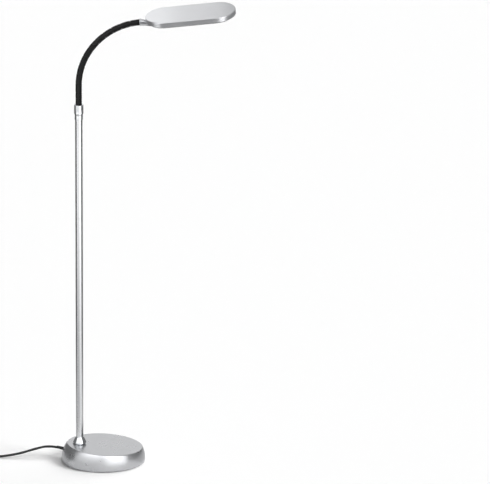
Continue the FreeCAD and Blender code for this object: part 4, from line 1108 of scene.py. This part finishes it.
glow = add(tree, "ShaderNodeMapRange", {
    "Value": rim.outputs[0], "To Min": GLOW_MIDDLE, "To Max": GLOW_RIM,
})
tint = add(tree, "ShaderNodeMix", {
    FACTOR: rim.outputs[0], SHADE_A: linear("#FFFFFD"), SHADE_B: linear("#F7F2E4"),
}, data_type="RGBA")
surface = tree.nodes["surface"]
tree.links.new(tint.outputs[SHADE_OUT], surface.inputs["Emission Color"])
tree.links.new(glow.outputs["Result"], surface.inputs["Emission Strength"])

# %% Diffuser
LENS_GAP = 0.2
LENS_EDGE = 0.35
LENS_HOLD = 1.2
LENS_FLAT = 10.0
FLANGE_OUT = 1.2
SHEET_FLANGE = 1.5
flange_face = UNDERSIDE + SHELL_WALL
lens_rings = [window(grow, height) for grow, height in (
    (-LENS_FLAT, UNDERSIDE), (-LENS_HOLD, UNDERSIDE), (-LENS_GAP - LENS_EDGE, UNDERSIDE),
    (-LENS_GAP - 0.1, UNDERSIDE + 0.1), (-LENS_GAP, UNDERSIDE + LENS_EDGE), (-LENS_GAP, flange_face),
    (FLANGE_OUT, flange_face), (FLANGE_OUT, flange_face + SHEET_FLANGE),
)]
piece("diffuser_sheet", HEAD, opal, [skin(lens_rings)], ["diffuser"], crease=40)

# %% [markdown]
# ## The button
# A push button of amber polycarbonate with two turned rings. Clear plastic this deep in colour
# passes some light and gathers the rest at its edges, so it gets a little transmission and a
# clear coat over the grain. It also gets a faint amber emission, which is a painted glow: no lamp
# lies behind the button. The dark line round it is the real gap in the shell.

# %% Button
amber = finish(
    "amber_polycarbonate_painted_glow", ("#D98E00", "#F2B021"), grain=3.0, relief=0.01, gloss=(0.12, 0.2),
    surface={"IOR": 1.58, "Transmission Weight": 0.25, "Coat Weight": 0.6, "Coat Roughness": 0.05,
             # The emission below is a painted glow; the button has no lamp behind it.
             "Emission Color": linear("#FFB000"), "Emission Strength": 0.12},
)
BUTTON_RADIUS = 10.0
BUTTON_STAND = 0.8
BUTTON_EDGE = 0.5
BUTTON_ROUND = 0.25
BUTTON_FLANGE = 11.5
FLANGE_HEIGHT = 1.0
FLANGE_PLAY = 0.1
# The turned rings, as shares of the button's radius, with their depth and their slope.
RING_SHARES = ((0.24, 0.44), (0.68, 0.86))
RING_DEPTH = 0.35
RING_SLOPE = 0.02

button_profile = [(HAIR / 2, 0)]
for start, end in RING_SHARES:
    button_profile += [
        (BUTTON_RADIUS * (start - RING_SLOPE), 0), (BUTTON_RADIUS * (start + RING_SLOPE), RING_DEPTH),
        (BUTTON_RADIUS * (end - RING_SLOPE), RING_DEPTH), (BUTTON_RADIUS * (end + RING_SLOPE), 0),
    ]
flange_low = BUTTON_STAND + SHELL_WALL + FLANGE_PLAY
flange_high = flange_low + FLANGE_HEIGHT
button_profile += [
    (BUTTON_RADIUS - BUTTON_EDGE, 0), (BUTTON_RADIUS, BUTTON_EDGE), (BUTTON_RADIUS, flange_low),
    (BUTTON_FLANGE, flange_low), (BUTTON_FLANGE, flange_high), (HAIR / 2, flange_high),
]
button_place = head_place @ Matrix.Translation(BUTTON_SPOT + Vector((0, 0, UNDERSIDE - BUTTON_STAND)))
piece("button", "button", amber,
      [turned(softened(button_profile, BUTTON_ROUND), button_place, 72)], ["button_cap"], crease=50)

# %% [markdown]
# ## Pieces inside
# What the covers hide keeps its CAD shape: weight, plate, nut, washer, couplers, boards, screws.
# Each gets the finish of its own substance, because the model can be taken apart. The recipe is
# the one of the outer finishes; only shades, grain and gloss tell the substances apart.

# %% Finishes of the inner pieces
# Iron from a sand mould: dark, with the sand's grains of nearly 2 mm standing out.
cast_iron = finish(
    "sand_cast_iron", ("#37373A", "#4B4A49"), grain=1.8, relief=0.25, gloss=(0.5, 0.65),
    surface={"Metallic": 1.0},
)
# Zinc from a plating bath: bluish, with crystals of some millimetres that shine unevenly.
zinc = finish(
    "zinc_plated_steel", ("#AEB4BA", "#C8CCD0"), grain=6.0, relief=0.004, gloss=(0.28, 0.4),
    surface={"Metallic": 1.0},
)
# Blackened steel: nearly black, oily and half matt.
black_steel = finish(
    "black_oxide_steel", ("#1B1B1D", "#2B2B2E"), grain=0.8, relief=0.01, gloss=(0.32, 0.42),
    surface={"Metallic": 1.0},
)
# Moulded white PBT: an off-white with a fine eroded grain.
white_plastic = finish(
    "white_PBT", ("#E4E4E1", "#EEEEEB"), grain=0.6, relief=0.01, gloss=(0.35, 0.45),
    surface={"IOR": 1.55},
)
# Solder mask: a clear green varnish over copper and glass cloth, fairly glossy.
board_mask = finish(
    "green_solder_mask", ("#0F5B35", "#1A7345"), grain=2.5, relief=0.02, gloss=(0.25, 0.35),
    surface={"IOR": 1.5},
)
# The phosphor of the LED chips: yellow grains cast in silicone.
phosphor = finish(
    "LED_phosphor", ("#EBCB4E", "#F5DE7C"), grain=0.8, relief=0.01, gloss=(0.35, 0.45),
    surface={"IOR": 1.5},
)
# Nickel over brass: a warm bright metal.
nickel = finish(
    "nickel_plated_brass", ("#CFC9B4", "#DDD8C6"), grain=2.0, relief=0.003, gloss=(0.15, 0.25),
    surface={"Metallic": 1.0},
)

# %% Give the finishes to the nodes
CARRIED = {
    cast_iron: ["base_weight"],
    zinc: ["base_plate", "base_stud", "stud_nut", "stud_washer", "pole_foot_plug", "lower_coupler",
           "upper_coupler", "head_bracket", "knuckle_screws", "board_screws", "neck_ferrule"],
    black_steel: ["base_screws", "head_screws", "knuckle_set_screw"],
    white_plastic: ["reflector_frame", "lead_connector", "tact_switch", "driver_module", "switch_plunger"],
    board_mask: ["led_board", "control_board"],
    phosphor: ["led_chips"],
    nickel: ["plug_blades"],
}
for material, names in CARRIED.items():
    for name in names:
        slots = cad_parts[name].data.materials
        slots.clear()
        slots.append(material)
print("carried over", sum(len(names) for names in CARRIED.values()))

# %% [markdown]
# ## The studio
# The picture is a catalogue cut-out: white all round, with a soft shadow under the base and to
# its left. The world is white to the eye and in reflections, but sheds only a little light of
# its own, so that the shadows keep their depth. Light Path tells the two uses apart.

# %% White surroundings
SEEN_RAYS = ("Is Camera Ray", "Is Glossy Ray", "Is Transmission Ray")
ROOM_LIGHT = 0.1


def seen(tree):
    """1 for rays from the camera, from gloss and through clear stuff, 0 for the light itself."""
    path = add(tree, "ShaderNodeLightPath")
    total = path.outputs[SEEN_RAYS[0]]
    for ray in SEEN_RAYS[1:]:
        total = add(tree, "ShaderNodeMath", {0: total, 1: path.outputs[ray]}, operation="MAXIMUM").outputs[0]
    return total


world = bpy.data.worlds.new("white_room")
world.use_nodes = True
tree = world.node_tree
tree.nodes.clear()
level = add(tree, "ShaderNodeMapRange", {"Value": seen(tree), "To Min": ROOM_LIGHT, "To Max": 1.0})
room = add(tree, "ShaderNodeBackground", {"Color": linear("#FFFFFF"), "Strength": level.outputs["Result"]})
add(tree, "ShaderNodeOutputWorld", {"Surface": room.outputs["Background"]})
bpy.context.scene.world = world
print("room sheds", ROOM_LIGHT, "of the white that it shows")

# %% [markdown]
# Two studio lamps light it all. One at the right throws the long soft shadow to the left. A wide
# one high behind draws the darker shadow that hugs the base in front. A lamp as far away as the sun
# lights a large floor evenly; its breadth in the sky sets how soft the shadow's edge is. The
# lamps stay out of reflections, where they would be hard spots; the cards further down are made
# for those.

# %% Wide lamps
def far_lamp(name, bearing, climb, level, spread):
    """A lamp far away, by its bearing from the camera's side, its height and its breadth in degrees.

    Its level is that of white paper that faces it.
    """
    lamp = bpy.data.lights.new(name, "SUN")
    lamp.energy = level * math.pi
    lamp.angle = math.radians(spread)
    made = bpy.data.objects.new(name, lamp)
    turn, lift = math.radians(bearing - 90), math.radians(climb)
    toward = Vector((math.cos(turn) * math.cos(lift), math.sin(turn) * math.cos(lift), math.sin(lift)))
    made.rotation_mode = "QUATERNION"
    made.rotation_quaternion = toward.to_track_quat("Z", "Y")
    made.visible_glossy = False
    bpy.context.scene.collection.objects.link(made)
    print("lamp", name, "gives a level floor", round(level * math.sin(lift), 2))


far_lamp("key_right", bearing=74, climb=42, level=0.72, spread=24)
far_lamp("top_back", bearing=150, climb=52, level=0.52, spread=54)

# %% [markdown]
# The floor is white paper. Paper alone comes out a little grey, so it gets a faint glow that only
# the camera and reflections see: unshaded it is white, and in the lamp's shadow it stays grey.

# %% Floor
# The rings of points that the floor is drawn through, out from the middle.
FLOOR_RINGS = (20.0, 1500.0, 7000.0)
PAPER_GLOW = 0.095

floor_paper = bpy.data.materials.new("white_paper_floor")
floor_paper.use_nodes = True
tree = floor_paper.node_tree
tree.nodes.clear()
paper = add(tree, "ShaderNodeBsdfDiffuse", {"Color": linear("#F4F4F4")})
strength = add(tree, "ShaderNodeMath", {0: seen(tree), 1: PAPER_GLOW}, operation="MULTIPLY")
lit = add(tree, "ShaderNodeEmission", {"Color": linear("#FFFFFF"), "Strength": strength.outputs[0]})
both = add(tree, "ShaderNodeAddShader", {0: paper.outputs[0], 1: lit.outputs[0]})
add(tree, "ShaderNodeOutputMaterial", {"Surface": both.outputs[0]})


def prop(name, parts, material):
    """A studio prop, which isn't part of the lamp."""
    mesh = bpy.data.meshes.new(name)
    points, faces = parts
    mesh.from_pydata([Vector(point) * MM for point in points], [], faces)
    mesh.materials.append(material)
    made = bpy.data.objects.new(name, mesh)
    bpy.context.scene.collection.objects.link(made)
    print("prop", name, "with", len(faces), "faces")
    return made


prop("floor", skin([circle(radius, 0, 96) for radius in FLOOR_RINGS], caps=(True, False)), floor_paper)

# %% [markdown]
# ## Cards
# Polished metal only shows what stands round it. Seen from above, an upright tube reflects the
# floor: its middle shows the floor in front, its flanks the floor at the sides and its edges the
# floor behind. So cards lie on the floor and stand up at its rim, bright at both sides and dark
# towards the back, and only reflections see them. They draw the light bands and the dark edges
# on pole, bell, collar and base. A card's level may change from one distance to another, which
# are given in metres from the middle of the base.

# %% Card paint
def card_paint(name, level, far_level=None, start=0.0, end=1.0):
    """A card's glow, where 1 is white: one level, or another one further out."""
    made = bpy.data.materials.new(name)
    made.use_nodes = True
    tree = made.node_tree
    tree.nodes.clear()
    glow = add(tree, "ShaderNodeEmission", {"Color": linear("#FFFFFF"), "Strength": level})
    add(tree, "ShaderNodeOutputMaterial", {"Surface": glow.outputs[0]})
    if far_level is not None:
        place = add(tree, "ShaderNodeTexCoord").outputs["Object"]
        away = add(tree, "ShaderNodeVectorMath", {0: place}, operation="LENGTH")
        ramp = add(tree, "ShaderNodeMapRange", {
            "Value": away.outputs["Value"],
            "From Min": start,
            "From Max": end,
            "To Min": level,
            "To Max": far_level,
        })
        tree.links.new(ramp.outputs["Result"], glow.inputs["Strength"])
    return made


def skin_open(rows):
    """Vertices and faces between rows of points that don't close."""
    count = len(rows[0])
    faces = [
        (count * row + step, count * row + step + 1, count * (row + 1) + step + 1, count * (row + 1) + step)
        for row in range(len(rows) - 1) for step in range(count - 1)
    ]
    return [point for row in rows for point in row], faces


def card(name, rows, material):
    """A card through rows of points, which only reflections see."""
    made = prop(name, skin_open(rows), material)
    made.visible_camera = False
    made.visible_diffuse = False
    made.visible_shadow = False
    made.visible_transmission = False


# %% [markdown]
# The cards in front are wedges between two bearings from the camera's side. The middle one sets
# the tone of an upright tube's middle and the two beside it that of its flanks, brighter at the
# right. All three grow brighter further out, where the upper end of the pole finds its reflection,
# so the pole grows lighter as it rises. The black cards hug the base from both sides to the back
# and darken the edges.

# %% Cards round the lamp
CARD_LIFT = 2.0
CARD_HUG = 15.0
CARD_START = 300.0
CARD_END = 3000.0
WALL_REACH = 3200.0
WALL_HEIGHT = 6500.0
CARD_STEPS = 12


def arc(first, last, wide, deep, height):
    """Points between two bearings, from the camera's side, on an oval round the base's middle."""
    points = []
    for step in range(CARD_STEPS + 1):
        turn = math.radians(first + (last - first) * step / CARD_STEPS - 90)
        points.append(Vector((wide * math.cos(turn), deep * math.sin(turn), height)))
    return points


def floor_card(name, first, last, material):
    """A card on the floor in front, clear of the base."""
    card(name, [arc(first, last, reach, reach, CARD_LIFT) for reach in (CARD_START, CARD_END)], material)


def wall_card(name, first, last, material):
    """A card that stands at the studio's rim."""
    heights = (CARD_LIFT, WALL_HEIGHT / 3, WALL_HEIGHT)
    card(name, [arc(first, last, WALL_REACH, WALL_REACH, height) for height in heights], material)


floor_card("middle_card", -12, 12, card_paint("middle_card", 0.8, 1.3, 0.9, 2.6))
floor_card("left_card", -62, -12, card_paint("left_card", 0.66, 1.6, 1.1, 2.6))
floor_card("right_card", 12, 62, card_paint("right_card", 1.15, 2.4, 1.0, 2.6))
wall_card("middle_wall", -7, 7, card_paint("middle_wall", 1.0, 1.5, 3.2, 4.2))
wall_card("left_wall", -62, -7, card_paint("left_wall", 1.1, 2.5, 3.2, 4.2))
wall_card("right_wall", 7, 54, card_paint("right_wall", 2.3, 3.8, 3.2, 4.0))
black_paint = card_paint("black_card", 0.7, 0.2, 0.2, 0.9)
wall_card("black_wall_left", -150, -72, black_paint)
wall_card("black_wall_right", 58, 150, black_paint)
for name, first, last in (("black_left", -180, -70), ("black_right", 72, 180)):
    inner = arc(first, last, HALF_LENGTH + CARD_HUG, HALF_WIDTH + CARD_HUG, CARD_LIFT)
    card(name, [inner, arc(first, last, WALL_REACH, WALL_REACH, CARD_LIFT)], black_paint)

# %% [markdown]
# The light hangs high, so three smaller cards serve it alone. One hangs in front and greys the
# light's upright side and its rounded edge. Two hang behind, a white one at the left and a grey
# one at the right, and draw the fall from light to grey along its flat top.

# %% Cards for the light
def hanging_card(name, left, right, depth, low, high, material):
    """An upright card across the picture."""
    card(name, [[Vector((x, depth, z)) for x in (left, right)] for z in (low, high)], material)


hanging_card("front_card", -20, 480, -350, 1090, 1800, card_paint("front_card", 0.25))
hanging_card("back_grey_card", 330, 1200, 600, 1380, 2100, card_paint("back_grey_card", 0.35))
hanging_card("back_white_card", -700, 150, 600, 1380, 2100, card_paint("back_white_card", 1.35))
